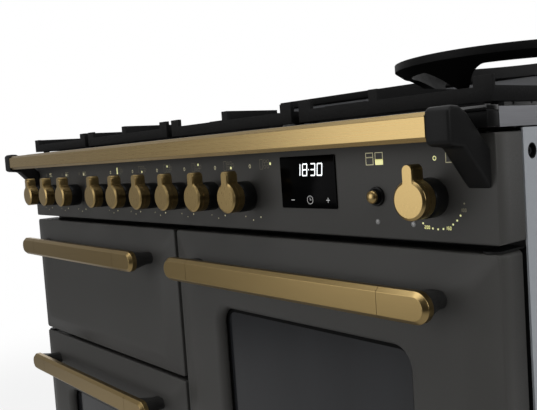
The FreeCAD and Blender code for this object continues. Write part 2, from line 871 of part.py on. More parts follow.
def handle_end(end_x, inward, z_range):
    """Rounded end piece of a bar handle, with the tapered post that stands on the door."""
    chamfer = handle_chamfer
    inner_x = end_x + inward * handle_end_length
    far_x = inner_x + inward * handle_end_length
    plate_x = tuple(sorted((end_x, far_x)))
    front = front_y - handle_reach
    back = front + handle_bar_depth
    foot_y = front_y - door_raise
    side = stadium_wire(plate_x, z_range, front + chamfer)
    top = stadium_wire(grown(plate_x, -chamfer), grown(z_range, -chamfer), front)
    bevel = Part.makeLoft([side, top], True, True)
    plate = Part.Face(side).extrude(vec(0, back - front - chamfer, 0))
    plate = fuse([plate, bevel])
    spare_x = tuple(sorted((inner_x, far_x + inward * overrun)))
    plate = plate.cut(box(spare_x, (front - overrun, back + overrun), grown(z_range, overrun)))
    middle_x = end_x + inward * (post_inset + post_front_length / 2)
    post_x = (middle_x - post_front_length / 2, middle_x + post_front_length / 2)
    foot_x = (middle_x - post_foot_length / 2, middle_x + post_foot_length / 2)
    z = middle(z_range)
    post_z = (z - post_front_height / 2, z + post_front_height / 2)
    foot_z = (z - post_foot_height / 2, z + post_foot_height / 2)
    post_ends = [stadium_wire(post_x, post_z, back), stadium_wire(foot_x, foot_z, foot_y)]
    post = Part.makeLoft(post_ends, True, True)
    return fuse([plate, post])


def bar_handle(x_range, top_z):
    """Bar handle on the raised face of a door: a straight bar between two end pieces."""
    z_middle = top_z - handle_drop
    z_range = (z_middle - handle_height / 2, z_middle + handle_height / 2)
    ends_x = grown(x_range, -handle_end_inset)
    bar_x = grown(ends_x, -handle_end_length)
    front = front_y - handle_reach
    back = front + handle_bar_depth
    c = handle_chamfer
    outline = [
        (front, z_range[0] + c),
        (front, z_range[1] - c),
        (front + c, z_range[1]),
        (back, z_range[1]),
        (back, z_range[0]),
        (front + c, z_range[0]),
    ]
    bar = profile_x(outline, bar_x)
    return group([bar, handle_end(ends_x[0], 1, z_range), handle_end(ends_x[1], -1, z_range)])


def grill_door_handle():
    return bar_handle(left_door_x, grill_door_z[1])


def left_door_handle():
    return bar_handle(left_door_x, left_door_z[1])


def right_door_handle():
    return bar_handle(right_door_x, right_door_z[1])


def drawer_handle():
    return bar_handle(right_door_x, drawer_front_z[1])


def drawer_front():
    return door_skin(right_door_x, drawer_front_z, False)


# Drawer tub and its runners
runner_depth = 10.0
runner_height = 34.0
tub_back_space = 107.0
tub_length = back_y - tub_back_space - front_y - door_fold
tub_floor_gap = 8.0
tub_top_gap = 16.0


def tub_range_x():
    return grown(drawer_side_x, -runner_depth - drawer_side_clearance)


def runner_z():
    z = middle(drawer_opening[1])
    return (z - runner_height / 2, z + runner_height / 2)


def drawer_tub():
    x_range = tub_range_x()
    y_range = (front_y + door_fold, front_y + door_fold + tub_length)
    z_range = (drawer_opening[1][0] + tub_floor_gap, drawer_opening[1][1] - tub_top_gap)
    outer = box(x_range, y_range, z_range)
    hollow = box(grown(x_range, -sheet), grown(y_range, -sheet), (z_range[0] + sheet, z_range[1] + overrun))
    tub = outer.cut(hollow)
    plate = liner_plate(right_door_x, drawer_front_z)
    rails = []
    for side in (0, 1):
        outward = -1 if side == 0 else 1
        wall_x = x_range[side]
        rail_x = tuple(sorted((wall_x, wall_x + outward * (drawer_side_clearance + sheet))))
        z = middle(runner_z())
        rail_z = (z - runner_height / 4, z + runner_height / 4)
        rails.append(box(rail_x, (y_range[0], y_range[1]), rail_z))
    return fuse([tub, plate] + rails)


def drawer_runners():
    channels = []
    z_low, z_high = runner_z()
    z = middle((z_low, z_high))
    rail_half = runner_height / 4 + seat_gap
    for side in (0, 1):
        inward = 1 if side == 0 else -1
        wall_x = drawer_side_x[side]
        x_range = tuple(sorted((wall_x, wall_x + inward * runner_depth)))
        y_range = (cavity_y, cavity_y + tub_length)
        channel = box(x_range, y_range, (z_low, z_high))
        groove_start = wall_x + inward * (runner_depth - sheet - seat_gap)
        groove_x = tuple(sorted((groove_start, wall_x + inward * (runner_depth + overrun))))
        groove = box(groove_x, (y_range[0] - overrun, y_range[1] - sheet), (z - rail_half, z + rail_half))
        channels.append(channel.cut(groove))
    return group(channels)


# Control panel with its fittings
panel_radius = 4.0
panel_foot = 4.0
panel_hanger_setback = 6.0
knob_rise = 44.7
knob_pitch = overall_width * 0.0710623
grill_group_first_x = 65.0
hob_group_first_x = overall_width * 0.3165751
right_knob_inset = 67.8
grill_group_knobs = 3
hob_group_knobs = 6
knob_hole_radius = 9.0
clock_middle = overall_width * 0.7710165
clock_width = 94.1
clock_x = (clock_middle - clock_width / 2, clock_middle + clock_width / 2)
clock_z = (29.9, 91.7)
clock_radius = 1.6
clock_proud = 1.6
clock_body_inset = 6.0
clock_body_depth = 28.0
button_x = overall_width * 0.8681319
button_z = 44.5
button_radius = 7.6
button_reach = 12.4
button_step = 6.8
button_dome_radius = 7.2
button_travel = 4.0
bezel_radius = 10.3
bezel_proud = 3.2
dome_shares = ((0.55, 0.12), (0.88, 0.42))
button_shoulder = 0.4
switch_size = 25.0
lens_radius = 3.0
lens_proud = 1.2
lens_length = 4.0
first_lens_x = overall_width * 0.8672161
first_lens_z = 17.6
second_lens_x = overall_width * 0.9105311
second_lens_z = 16.6
lens_places = ((first_lens_x, first_lens_z), (second_lens_x, second_lens_z))


def knob_places():
    xs = [grill_group_first_x + knob_pitch * index for index in range(grill_group_knobs)]
    xs += [hob_group_first_x + knob_pitch * index for index in range(hob_group_knobs)]
    xs.append(overall_width - right_knob_inset)
    return [vec(left_x + x, front_y, panel_z + knob_rise) for x in xs]


def control_panel():
    x_range = (left_x, right_x)
    z_range = (panel_z, panel_top_z)
    shell_y = (front_y, front_y + panel_depth)
    outer = rounded_plate(x_range, z_range, shell_y, panel_radius)
    hollow = box(grown(x_range, -sheet), (front_y + sheet, shell_y[1] + overrun), grown(z_range, -sheet))
    shell = outer.cut(hollow)
    tab = box(grown(x_range, -door_border), (shell_y[1], frame_y), (z_range[0], z_range[0] + sheet))
    foot_z = (z_range[0] - panel_foot, z_range[0])
    foot = box(grown(x_range, -door_border), (frame_y - sheet, frame_y), foot_z)
    hanger_z = (z_range[1] - sheet, hob_rail_z[0])
    hanger_y = (front_y + panel_hanger_setback, front_y + panel_hanger_setback + sheet)
    hanger = box(grown(x_range, -door_border), hanger_y, hanger_z)
    shell = fuse([shell, tab, foot, hanger])
    cuts = []
    wall_y = (front_y - overrun, front_y + sheet + overrun)
    for place in knob_places():
        cuts.append(rod(vec(place.x, wall_y[0], place.z), vec(place.x, wall_y[1], place.z), knob_hole_radius))
    cuts.append(rounded_plate(clock_body_x(), clock_body_z(), wall_y, clock_radius))
    spots = [(button_x, button_z, button_radius + seat_gap)]
    spots += [(x, z, lens_radius) for x, z in lens_places]
    for x, z, radius in spots:
        start = vec(left_x + x, wall_y[0], panel_z + z)
        cuts.append(rod(start, vec(left_x + x, wall_y[1], panel_z + z), radius))
    return shell.cut(cuts)


def clock_body_x():
    return grown((left_x + clock_x[0], left_x + clock_x[1]), -clock_body_inset)


def clock_body_z():
    return grown((panel_z + clock_z[0], panel_z + clock_z[1]), -clock_body_inset)


def clock_unit():
    x_range = (left_x + clock_x[0], left_x + clock_x[1])
    z_range = (panel_z + clock_z[0], panel_z + clock_z[1])
    glass = rounded_plate(x_range, z_range, (front_y - clock_proud, front_y), clock_radius)
    body = rounded_plate(clock_body_x(), clock_body_z(), (front_y, front_y + clock_body_depth), clock_radius)
    return group([glass, body])


def panel_fittings():
    x = left_x + button_x
    z = panel_z + button_z
    ring_y = (front_y - bezel_proud, front_y)
    ring = rod(vec(x, ring_y[0], z), vec(x, ring_y[1], z), bezel_radius)
    bore_start, bore_end = vec(x, ring_y[0] - overrun, z), vec(x, ring_y[1] + overrun, z)
    ring = ring.cut(rod(bore_start, bore_end, button_radius + seat_gap))
    pieces = [ring]
    for lens_x, lens_z in lens_places:
        start = vec(left_x + lens_x, front_y - lens_proud, panel_z + lens_z)
        pieces.append(rod(start, start + Y_AXIS * (lens_proud + lens_length), lens_radius))
    switch_y = (front_y + sheet, front_y + clock_body_depth)
    half = switch_size / 2
    switch = box((x - half, x + half), switch_y, (z - half, z + half))
    well = rod(vec(x, switch_y[0] - overrun, z), vec(x, button_back_y() + button_travel + seat_gap, z),
               button_radius + seat_gap)
    pieces.append(switch.cut(well))
    return group(pieces)


def button_back_y():
    return front_y + sheet + button_step


def push_button():
    x = left_x + button_x
    z = panel_z + button_z
    tip = front_y - button_reach
    shoulder = front_y - button_step
    outline = [(0, tip)]
    for across, down in dome_shares:
        outline.append((button_dome_radius * across, tip + button_dome_radius * down))
    outline += [
        (button_dome_radius, shoulder),
        (button_radius, shoulder + button_shoulder),
        (button_radius, button_back_y()),
        (0, button_back_y()),
    ]
    return turned_y(outline, x, z)


# Knobs
knob_reach = 43.5
knob_brass_back = 26.0
knob_skirt_back = 6.0
knob_face_radius = 16.6
knob_collar_radius = 19.2
knob_skirt_radius = 19.6
knob_bevel = 1.8
knob_step_share = 0.45
knob_groove = 0.9
knob_lever_height = 34.0
knob_lever_width = 12.4
knob_shaft_radius = 4.0
knob_shaft_length = 12.0
knob_neck_radius = 13.0


def knob_brass(place):
    face_y = place.y - knob_reach
    back = place.y - knob_brass_back
    step_y = face_y + (back - face_y) * knob_step_share
    outline = [
        (0, face_y),
        (knob_face_radius, face_y),
        (knob_collar_radius, face_y + knob_bevel),
        (knob_collar_radius, step_y),
        (knob_collar_radius - knob_groove, step_y),
        (knob_collar_radius - knob_groove, step_y + knob_groove),
        (knob_collar_radius, step_y + knob_groove),
        (knob_collar_radius, back),
        (0, back),
    ]
    cap = turned_y(outline, place.x, place.z)
    half = knob_lever_width / 2
    x_range = (place.x - half, place.x + half)
    z_range = (place.z, place.z + knob_lever_height - half)
    arm = box(x_range, (face_y, back), z_range)
    tip = rod(vec(place.x, face_y, z_range[1]), vec(place.x, back, z_range[1]), half)
    return fuse([cap, arm, tip])


def knob_skirt(place):
    back = place.y - knob_skirt_back
    front = place.y - knob_brass_back
    outline = [
        (0, front),
        (knob_skirt_radius - knob_bevel, front),
        (knob_skirt_radius, front + knob_bevel),
        (knob_skirt_radius, back - knob_bevel),
        (knob_skirt_radius - knob_bevel, back),
        (knob_neck_radius, back),
        (knob_neck_radius, place.y - overrun),
        (knob_shaft_radius, place.y - overrun),
        (knob_shaft_radius, place.y + knob_shaft_length),
        (0, place.y + knob_shaft_length),
    ]
    return turned_y(outline, place.x, place.z)


def knob(place):
    return group([knob_brass(place), knob_skirt(place)])


# Taps, switches, gas rail and burner feeds behind the panel
tap_radius = 10.0
tap_length = 34.0
switch_half = 19.0
gas_rail_radius = 7.0
gas_rail_setback = 58.0
gas_rail_bend = 25.0
gas_rail_overhang = 24.0
feed_radius = 4.0
feed_bend = 12.0
feed_drop = 12.0


def tap(place):
    start_y = front_y + sheet
    body = rod(vec(place.x, start_y, place.z), vec(place.x, front_y + gas_rail_setback, place.z), tap_radius)
    well = rod(vec(place.x, start_y - overrun, place.z),
               vec(place.x, front_y + knob_shaft_length + seat_gap, place.z),
               knob_shaft_radius + pin_clearance)
    return body.cut(well)


def switch_box(place):
    half = switch_half
    start_y = front_y + sheet
    body = box(
        (place.x - half, place.x + half),
        (start_y, start_y + tap_length),
        (place.z - half, place.z + half),
    )
    well = rod(vec(place.x, start_y - overrun, place.z),
               vec(place.x, front_y + knob_shaft_length + seat_gap, place.z),
               knob_shaft_radius + pin_clearance)
    return body.cut(well)


def gas_rail():
    places = knob_places()
    taps = places[grill_group_knobs + 1:-1]
    switches = places[:grill_group_knobs + 1] + places[-1:]
    rail_y = front_y + gas_rail_setback
    z = panel_z + knob_rise
    inlet = inlet_place()
    rail_points = [
        vec(taps[0].x - gas_rail_overhang, rail_y, z),
        vec(inlet.x, rail_y, z),
        vec(inlet.x, inlet.y - inlet_length / 2, z),
    ]
    pieces = [pipe(rail_points, gas_rail_radius, gas_rail_bend)]
    stub_start = vec(inlet.x, inlet.y - inlet_length, inlet.z)
    pieces.append(rod(stub_start, inlet, inlet_radius))
    for place in taps:
        pieces.append(tap(place))
    for burner, place in zip(burner_order(), taps):
        high_z = hob_deck_z - feed_drop
        points = [
            vec(place.x, rail_y, z),
            vec(place.x, rail_y, high_z),
            vec(place.x, burner.y, high_z),
        ]
        if abs(burner.x - place.x) > burner_hole_radius:
            points.append(vec(burner.x, burner.y, high_z))
        pieces.append(pipe(points, feed_radius, feed_bend))
    bore_start = vec(inlet.x, inlet.y - inlet_bore_length, inlet.z)
    bore = rod(bore_start, vec(inlet.x, inlet.y + overrun, inlet.z), inlet_bore_radius)
    manifold = fuse(pieces).cut(bore)
    return group([manifold] + [switch_box(place) for place in switches])


# Handrail
rail_face_reach = 60.0
rail_bar_depth = 22.0
rail_bar_z = (98.6, 125.3)
rail_chamfer = 4.0
bracket_inset = 5.2
bracket_width = 26.4
bracket_foot_rise = 51.4
bracket_height = 77.8
bracket_shares = (
    (1, 0.58),
    (1, 0.95),
    (0.918, 1),
    (0.734, 0.99),
    (0.552, 0.913),
    (0.197, 0.64),
    (0, 0.49),
    (0, 0),
    (0.633, 0.527),
    (0.898, 0.548),
)


def bracket_x():
    left = (left_x + bracket_inset, left_x + bracket_inset + bracket_width)
    right = (right_x - bracket_inset - bracket_width, right_x - bracket_inset)
    return left, right


def handrail_brackets():
    foot_z = panel_z + bracket_foot_rise
    points = [(front_y - out * rail_reach, foot_z + up * bracket_height) for out, up in bracket_shares]
    return group([profile_x(points, x_range) for x_range in bracket_x()])


def handrail_bar():
    left, right = bracket_x()
    y_range = (front_y - rail_face_reach, front_y - rail_face_reach + rail_bar_depth)
    z_range = (panel_z + rail_bar_z[0], panel_z + rail_bar_z[1])
    c = rail_chamfer
    outline = [
        (y_range[0], z_range[0] + c),
        (y_range[0], z_range[1] - c),
        (y_range[0] + c, z_range[1]),
        (y_range[1], z_range[1]),
        (y_range[1], z_range[0]),
        (y_range[0] + c, z_range[0]),
    ]
    return profile_x(outline, (left[1], right[0]))


# Hob
hob_rail_y = (-11.5, 7.0)
hob_rail_low = 107.8
hob_rail_high = 123.0
hob_rail_z = (panel_z + hob_rail_low, panel_z + hob_rail_high)
side_trim_bottom_z = panel_z + hob_rail_low
side_trim_width = 12.0
strip_reach = 12.5
upstand_depth = 40.0
upstand_height = 86.0
upstand_side_gap = overall_width * 0.1474
upstand_cap_height = 15.0
upstand_line = 2.5
upstand_cap_reach = 3.0
upstand_slots = 10
upstand_slot_depth = 12.0
upstand_slot_share = 0.76
hob_lip = 1.4
hot_zone_lap = 5.6


def hob_top():
    deck_y = (front_y + hob_rail_y[1], back_y)
    deck_x = (left_x + side_trim_width, right_x - side_trim_width)
    deck = box(deck_x, deck_y, (hob_deck_z, hob_deck_z + hob_sheet))
    cuts = []
    for place in burner_order():
        low = vec(place.x, place.y, hob_deck_z - overrun)
        cuts.append(rod(low, vec(place.x, place.y, hob_height + overrun), burner_hole_radius))
    plate_x, plate_y = hot_zone_range()
    cuts.append(box(grown(plate_x, -hot_zone_lap), grown(plate_y, -hot_zone_lap),
                    (hob_deck_z - overrun, hob_height + overrun)))
    return deck.cut(cuts)


def hob_front_rail():
    y_range = (front_y + hob_rail_y[0], front_y + hob_rail_y[1])
    return box((left_x, right_x), y_range, hob_rail_z)


def hob_trims():
    y_range = (front_y + hob_rail_y[1], back_y)
    top = hob_height
    pieces = []
    for x_range in ((left_x, left_x + side_trim_width), (right_x - side_trim_width, right_x)):
        pieces.append(box(x_range, y_range, (side_trim_bottom_z, top - hob_lip)))
    strip_y = (front_y - strip_reach, front_y + hob_rail_y[1])
    strip = box((left_x, right_x), strip_y, (hob_rail_z[1], top))
    lip = box((left_x + side_trim_width, right_x - side_trim_width),
              (strip_y[1], strip_y[1] + side_trim_width), (hob_deck_z + hob_sheet, top))
    pieces.append(fuse([strip, lip]))
    return group(pieces)


def rear_upstand():
    y_range = (back_y - upstand_depth, back_y)
    base = hob_deck_z + hob_sheet
    top = hob_height + upstand_height
    body_top = top - upstand_cap_height - upstand_line
    x_range = (left_x + upstand_side_gap, right_x - upstand_side_gap)
    inner_x_range = grown(x_range, -sheet)
    body = box(x_range, y_range, (base, body_top)).cut(
        box(inner_x_range, grown(y_range, -sheet), (base - overrun, body_top - sheet)))
    neck_z = (body_top, body_top + upstand_line)
    neck = box(grown(x_range, -upstand_line), grown(y_range, -upstand_line), neck_z)
    cap_y = (y_range[0] - upstand_cap_reach, y_range[1])
    cap = box(x_range, cap_y, (body_top + upstand_line, top))
    slots = []
    pitch = (x_range[1] - x_range[0]) / upstand_slots
    for index in range(upstand_slots):
        x = x_range[0] + pitch * index + pitch / 2
        slot_x = (x - pitch * upstand_slot_share / 2, x + pitch * upstand_slot_share / 2)
        y = middle(y_range)
        slot_y = (y - upstand_slot_depth / 2, y + upstand_slot_depth / 2)
        slots.append(box(slot_x, slot_y, (top - upstand_cap_height / 2, top + overrun)))
    return group([body, neck, cap.cut(slots)])


# Burners
burner_front_y = 150.0
burner_rear_gap = 170.0
burner_rear_y = back_y - front_y - burner_rear_gap
burner_hole_radius = 24.0
burner_base_height = 14.0
burner_cap_height = 6.0
burner_skirt = 8.0
burner_slots = 18
burner_slot_share = 0.86
burner_cap_shares = ((0.96, 0), (1, 0.3), (0.97, 0.8), (0.86, 1))
small_radius = 30.0
medium_radius = 38.0
large_radius = 48.0
wok_radius = 62.0
left_support_margin = 5.0
right_support_margin = 5.0
support_gap = 14.0
left_support_width = overall_width * 0.2179487
double_support_width = overall_width * 0.2481685
wok_burner_inset = overall_width * 0.1355769
wok_burner_y = 281.5


def support_ranges():
    """Span of each pan support across the hob, from left to right."""
    start = left_x + left_support_margin
    ranges = [(start, start + left_support_width)]
    for index in range(2):
        low = ranges[-1][1] + support_gap
        ranges.append((low, low + double_support_width))
    ranges.append((ranges[-1][1] + support_gap, right_x - right_support_margin))
    return ranges


def burner_order():
    """Burners in the order of their taps, from left to right."""
    ranges = support_ranges()
    x_two, x_three = middle(ranges[1]), middle(ranges[2])
    front, rear = front_y + burner_front_y, front_y + burner_rear_y
    return [vec(x_two, front, 0), vec(x_two, rear, 0), vec(x_three, rear, 0), vec(x_three, front, 0),
            vec(right_x - wok_burner_inset, front_y + wok_burner_y, 0)]


def burner_radii():
    return [medium_radius, large_radius, medium_radius, small_radius, wok_radius]


def burner_heads():
    heads = []
    base = hob_deck_z + hob_sheet
    for place, radius in zip(burner_order(), burner_radii()):
        top = base + burner_base_height
        outline = [
            (0, hob_deck_z - feed_drop + feed_radius),
            (burner_hole_radius - seat_gap, hob_deck_z - feed_drop + feed_radius),
            (burner_hole_radius - seat_gap, base),
            (radius + burner_skirt, base),
            (radius + burner_skirt, base + sheet),
            (radius, base + sheet * 2),
            (radius, top),
            (0, top),
        ]
        head = turned_z(outline, place.x, place.y)
        cuts = []
        for index in range(burner_slots):
            slot_x = (place.x + radius * burner_slot_share, place.x + radius + overrun)
            slot = box(slot_x, (place.y - sheet / 2, place.y + sheet / 2),
                       (top - sheet * 2, top + overrun))
            slot.rotate(vec(place.x, place.y, top), Z_AXIS, index * 360 / burner_slots)
            cuts.append(slot)
        heads.append(head.cut(cuts))
    return group(heads)


def burner_caps():
    caps = []
    base = hob_deck_z + hob_sheet + burner_base_height
    for place, radius in zip(burner_order(), burner_radii()):
        outline = [(0, base)]
        for across, up in burner_cap_shares:
            outline.append((radius * across, base + burner_cap_height * up))
        outline.append((0, base + burner_cap_height))
        caps.append(turned_z(outline, place.x, place.y))
    return group(caps)


hot_zone_margin = 20.0
hot_zone_front = 55.0
hot_zone_rear_gap = 100.0
hot_zone_rear = back_y - front_y - hot_zone_rear_gap
hot_zone_thickness = 4.0


def hot_zone_range():
    x_range = grown(support_ranges()[0], -hot_zone_margin)
    return x_range, (front_y + hot_zone_front, front_y + hot_zone_rear)


def hot_zone_glass():
    x_range, y_range = hot_zone_range()
    base = hob_deck_z + hob_sheet
    return box(x_range, y_range, (base, base + hot_zone_thickness))


# Cast iron pan supports and wok cradle
support_front = 6.0
support_rear_gap = 55.0
support_rear = back_y - front_y - support_rear_gap
support_bar = 11.0
support_bar_z = (131.5, 146.0)
support_foot_radius = 6.0
support_foot_setback = 20.0
support_top_z = 158.0
support_block = 20.0
support_block_depth = 5.5
finger_width = 12.0
finger_tip_gap = 6.0
wok_top_z = 202.0
wok_top_radius = 151.0
wok_base_radius = 110.0
wok_wall = 11.0
wok_rim = 9.5
wok_band = 17.5
wok_band_radius = 140.0
wok_arches = 4
wok_arch_share = 0.66
wok_arch_corner = 14.0


def finger(tip, root, width):
    """Bar that rises over the frame and runs in towards a burner."""
    along_x = abs(root.x - tip.x) > abs(root.y - tip.y)
    half = width / 2
    z_range = (panel_z + support_bar_z[0], panel_z + support_top_z)
    if along_x:
        return box(tuple(sorted((tip.x, root.x))), (tip.y - half, tip.y + half), z_range)
    return box((tip.x - half, tip.x + half), tuple(sorted((tip.y, root.y))), z_range)


def burner_fingers(center, x_ends, y_ends, tip):
    return [
        finger(vec(center.x - tip, center.y, 0), vec(x_ends[0], center.y, 0), finger_width),
        finger(vec(center.x + tip, center.y, 0), vec(x_ends[1], center.y, 0), finger_width),
        finger(vec(center.x, center.y - tip, 0), vec(center.x, y_ends[0], 0), finger_width),
        finger(vec(center.x, center.y + tip, 0), vec(center.x, y_ends[1], 0), finger_width),
    ]


def support_frame(x_range):
    """Rectangular frame of a pan support with its corner blocks and feet."""
    y_range = (front_y + support_front, front_y + support_rear)
    z_range = (panel_z + support_bar_z[0], panel_z + support_bar_z[1])
    outer = box(x_range, y_range, z_range)
    inner = box(grown(x_range, -support_bar), grown(y_range, -support_bar), grown(z_range, overrun))
    parts = [outer.cut(inner)]
    deck = hob_deck_z + hob_sheet
    inset = support_foot_radius + sheet
    for x_index in (0, 1):
        for y_index in (0, 1):
            inward_x = 1 if x_index == 0 else -1
            inward_y = 1 if y_index == 0 else -1
            corner_x, corner_y = x_range[x_index], y_range[y_index]
            block_x = tuple(sorted((corner_x, corner_x + inward_x * support_block)))
            block_y = tuple(sorted((corner_y, corner_y + inward_y * support_block_depth)))
            parts.append(box(block_x, block_y, (z_range[0], panel_z + support_top_z - sheet)))
            setback = inset if y_index else support_foot_setback
            foot_x, foot_y = corner_x + inward_x * inset, corner_y + inward_y * setback
            foot_low = vec(foot_x, foot_y, deck + seat_gap)
            parts.append(rod(foot_low, vec(foot_x, foot_y, z_range[1]), support_foot_radius))
    return parts, y_range


def double_support(x_range):
    """Pan support over a front and a rear burner."""
    parts, y_range = support_frame(x_range)
    center_x = middle(x_range)
    x_ends = grown(x_range, -support_bar / 2)
    bar_y = (burner_front_y + burner_rear_y) / 2 + front_y
    z_range = (panel_z + support_bar_z[0], panel_z + support_bar_z[1])
    parts.append(box(x_range, (bar_y - support_bar / 2, bar_y + support_bar / 2), z_range))
    front = vec(center_x, front_y + burner_front_y, 0)
    rear = vec(center_x, front_y + burner_rear_y, 0)
    tip = large_radius + finger_tip_gap
    parts.extend(burner_fingers(front, x_ends, (y_range[0], bar_y), tip))
    parts.extend(burner_fingers(rear, x_ends, (bar_y, y_range[1]), tip))
    return fuse(parts)


def wok_support(x_range):
    """Pan support over the single large burner at the right."""
    parts, y_range = support_frame(x_range)
    center = burner_order()[-1]
    x_ends = grown(x_range, -support_bar / 2)
    tip = wok_radius + burner_skirt + finger_tip_gap
    parts.extend(burner_fingers(center, x_ends, y_range, tip))
    return fuse(parts)


def hot_zone_support(x_range):
    """Open frame round the hot zone with raised side rails."""
    parts, y_range = support_frame(x_range)
    z_range = (panel_z + support_bar_z[0], panel_z + support_top_z - sheet)
    parts.append(box((x_range[0], x_range[0] + support_bar), y_range, z_range))
    parts.append(box((x_range[1] - support_bar, x_range[1]), y_range, z_range))
    return fuse(parts)


def wok_cradle():
    """Conical cast ring on legs that stands on the right-hand pan support."""
    center = burner_order()[-1]
    top = panel_z + wok_top_z
    base = panel_z + support_top_z + seat_gap
    outline = [
        (wok_base_radius - wok_wall, base),
        (wok_base_radius, base),
        (wok_band_radius, top - wok_band),
        (wok_top_radius, top - wok_rim),
        (wok_top_radius, top),
        (wok_top_radius - wok_wall, top),
        (wok_band_radius - wok_wall, top - wok_band),
    ]
    ring = turned_z(outline, center.x, center.y)
    half = wok_base_radius * wok_arch_share
    arch_x = (center.x - half, center.x + half)
    arch_z = (base - wok_arch_corner - overrun, top - wok_band)
    arch_face = Part.Face(rounded_wire(arch_x, arch_z, center.y, wok_arch_corner))
    cuts = []
    for index in range(wok_arches):
        arch = arch_face.extrude(Y_AXIS * (wok_top_radius + overrun))
        arch.rotate(vec(center.x, center.y, base), Z_AXIS, 360 * (index + 1 / 2) / wok_arches)
        cuts.append(arch)
    return ring.cut(cuts)


def parts_by_name():
    shapes = {
        "plinth": plinth(),
        "levelling_feet": levelling_feet(),
        "chassis": chassis(),
        "side_panels": side_panels(),
        "back_panel": back_panel(),
        "front_frame": front_frame(),
        "hinge_brackets": hinge_brackets(),
        "grill_cavity": grill_cavity(),
        "left_oven_cavity": left_oven_cavity(),
        "right_oven_cavity": right_oven_cavity(),
        "oven_insulation": oven_insulation(),
        "door_seals": door_seals(),
        "oven_racks": oven_racks(),
        "grill_pan": grill_pan(),
        "heating_elements": heating_elements(),
        "oven_fan": oven_fan(),
        "drawer_runners": drawer_runners(),
        "control_panel": control_panel(),
        "clock_unit": clock_unit(),
        "panel_fittings": panel_fittings(),
        "push_button": push_button(),
        "gas_rail": gas_rail(),
        "handrail_bar": handrail_bar(),
        "handrail_brackets": handrail_brackets(),
        "hob_top": hob_top(),
        "hob_front_rail": hob_front_rail(),
        "hob_trims": hob_trims(),
        "rear_upstand": rear_upstand(),
        "burner_heads": burner_heads(),
        "burner_caps": burner_caps(),
        "hot_zone_glass": hot_zone_glass(),
        "grill_door_panel": grill_door_panel(),
        "grill_door_liner": grill_door_liner(),
        "grill_door_handle": grill_door_handle(),
        "left_door_panel": left_door_panel(),
        "left_door_glass": left_door_glass(),
        "left_door_liner": left_door_liner(),
        "left_door_handle": left_door_handle(),
        "right_door_panel": right_door_panel(),
        "right_door_glass": right_door_glass(),
        "right_door_liner": right_door_liner(),
        "right_door_handle": right_door_handle(),
        "drawer_front": drawer_front(),
        "drawer_tub": drawer_tub(),
        "drawer_handle": drawer_handle(),
        "wok_cradle": wok_cradle(),
    }
    ranges = support_ranges()
    shapes["pan_support_1"] = hot_zone_support(ranges[0])
    shapes["pan_support_2"] = double_support(ranges[1])
    shapes["pan_support_3"] = double_support(ranges[2])
    shapes["pan_support_4"] = wok_support(ranges[3])
    for index, place in enumerate(knob_places()):
        shapes["knob_%02d" % (index + 1)] = knob(place)
    return shapes


os.makedirs("parts", exist_ok=True)
for name, shape in parts_by_name().items():
    shape.exportStep("parts/%s.step" % name)
    size = shape.BoundBox
    valid = "valid" if shape.isValid() else "NOT VALID"
    print("%-22s %2d solids %s  x %.1f %.1f  y %.1f %.1f  z %.1f %.1f" % (
        name, len(shape.Solids), valid, size.XMin, size.XMax, size.YMin, size.YMax, size.ZMin, size.ZMax))
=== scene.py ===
import math
import bmesh
import bpy
from mathutils import Matrix, Vector


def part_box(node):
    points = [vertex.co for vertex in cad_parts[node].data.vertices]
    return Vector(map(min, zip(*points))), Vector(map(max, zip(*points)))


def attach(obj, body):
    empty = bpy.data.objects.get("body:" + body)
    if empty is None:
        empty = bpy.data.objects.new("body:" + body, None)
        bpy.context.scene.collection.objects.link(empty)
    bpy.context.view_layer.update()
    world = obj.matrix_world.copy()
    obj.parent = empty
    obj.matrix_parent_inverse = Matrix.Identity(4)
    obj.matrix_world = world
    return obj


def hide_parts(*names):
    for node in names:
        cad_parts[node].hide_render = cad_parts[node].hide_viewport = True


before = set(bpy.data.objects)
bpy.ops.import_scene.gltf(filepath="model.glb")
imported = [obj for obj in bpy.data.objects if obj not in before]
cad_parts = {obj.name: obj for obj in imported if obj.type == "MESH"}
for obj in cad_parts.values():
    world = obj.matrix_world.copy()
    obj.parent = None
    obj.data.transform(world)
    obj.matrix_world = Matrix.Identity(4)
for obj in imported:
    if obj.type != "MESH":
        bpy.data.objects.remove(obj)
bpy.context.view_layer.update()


# Camera and studio
# The cooker is seen from close by its right front corner, a little above the knobs.
# It stands on a pale studio floor under large soft lamps, before a white backdrop.
camera_place = (0.8976, -0.82713, 0.87808)
camera_right = (0.638065, 0.766926, -0.068543)
camera_up = (-0.006344, 0.094252, 0.995528)
camera_back = (0.769956, -0.634777, 0.065004)
sensor_width = 36.0
lens_length = 46.775
lens_shift = -0.0150
near_limit = 0.01
lamps = (
    ("front_softbox", (-1.2, -3.1, 1.20), (0.2, -0.3, 0.80), (2.2, 2.2), 2.0),
    ("top_softbox", (0.2, -0.9, 3.0), (0.0, -0.2, 0.8), (3.0, 1.8), 2.7),
    ("side_softbox", (3.2, -0.3, 1.9), (0.5, 0.0, 0.7), (1.8, 1.8), 3.7),
)
white = (1, 1, 1, 1)
fill_level = 0.30
room_front = (0.00, 0.28)
room_front_levels = (0.36, 1)
room_side = (0.05, 0.50)
room_side_levels = (1, 0.03)
floor_reach = 9.0
floor_colour = (0.80, 0.80, 0.80, 1)
floor_roughness = 0.9
floor_fade = (1.4, 3.2)
floor_glow_levels = (0.80, 1)
mirrored_floor_levels = (0.5, 1)


def linked(name, data):
    """An object in the scene for a mesh, a lamp or a camera."""
    made = bpy.data.objects.new(name, data)
    bpy.context.scene.collection.objects.link(made)
    return made


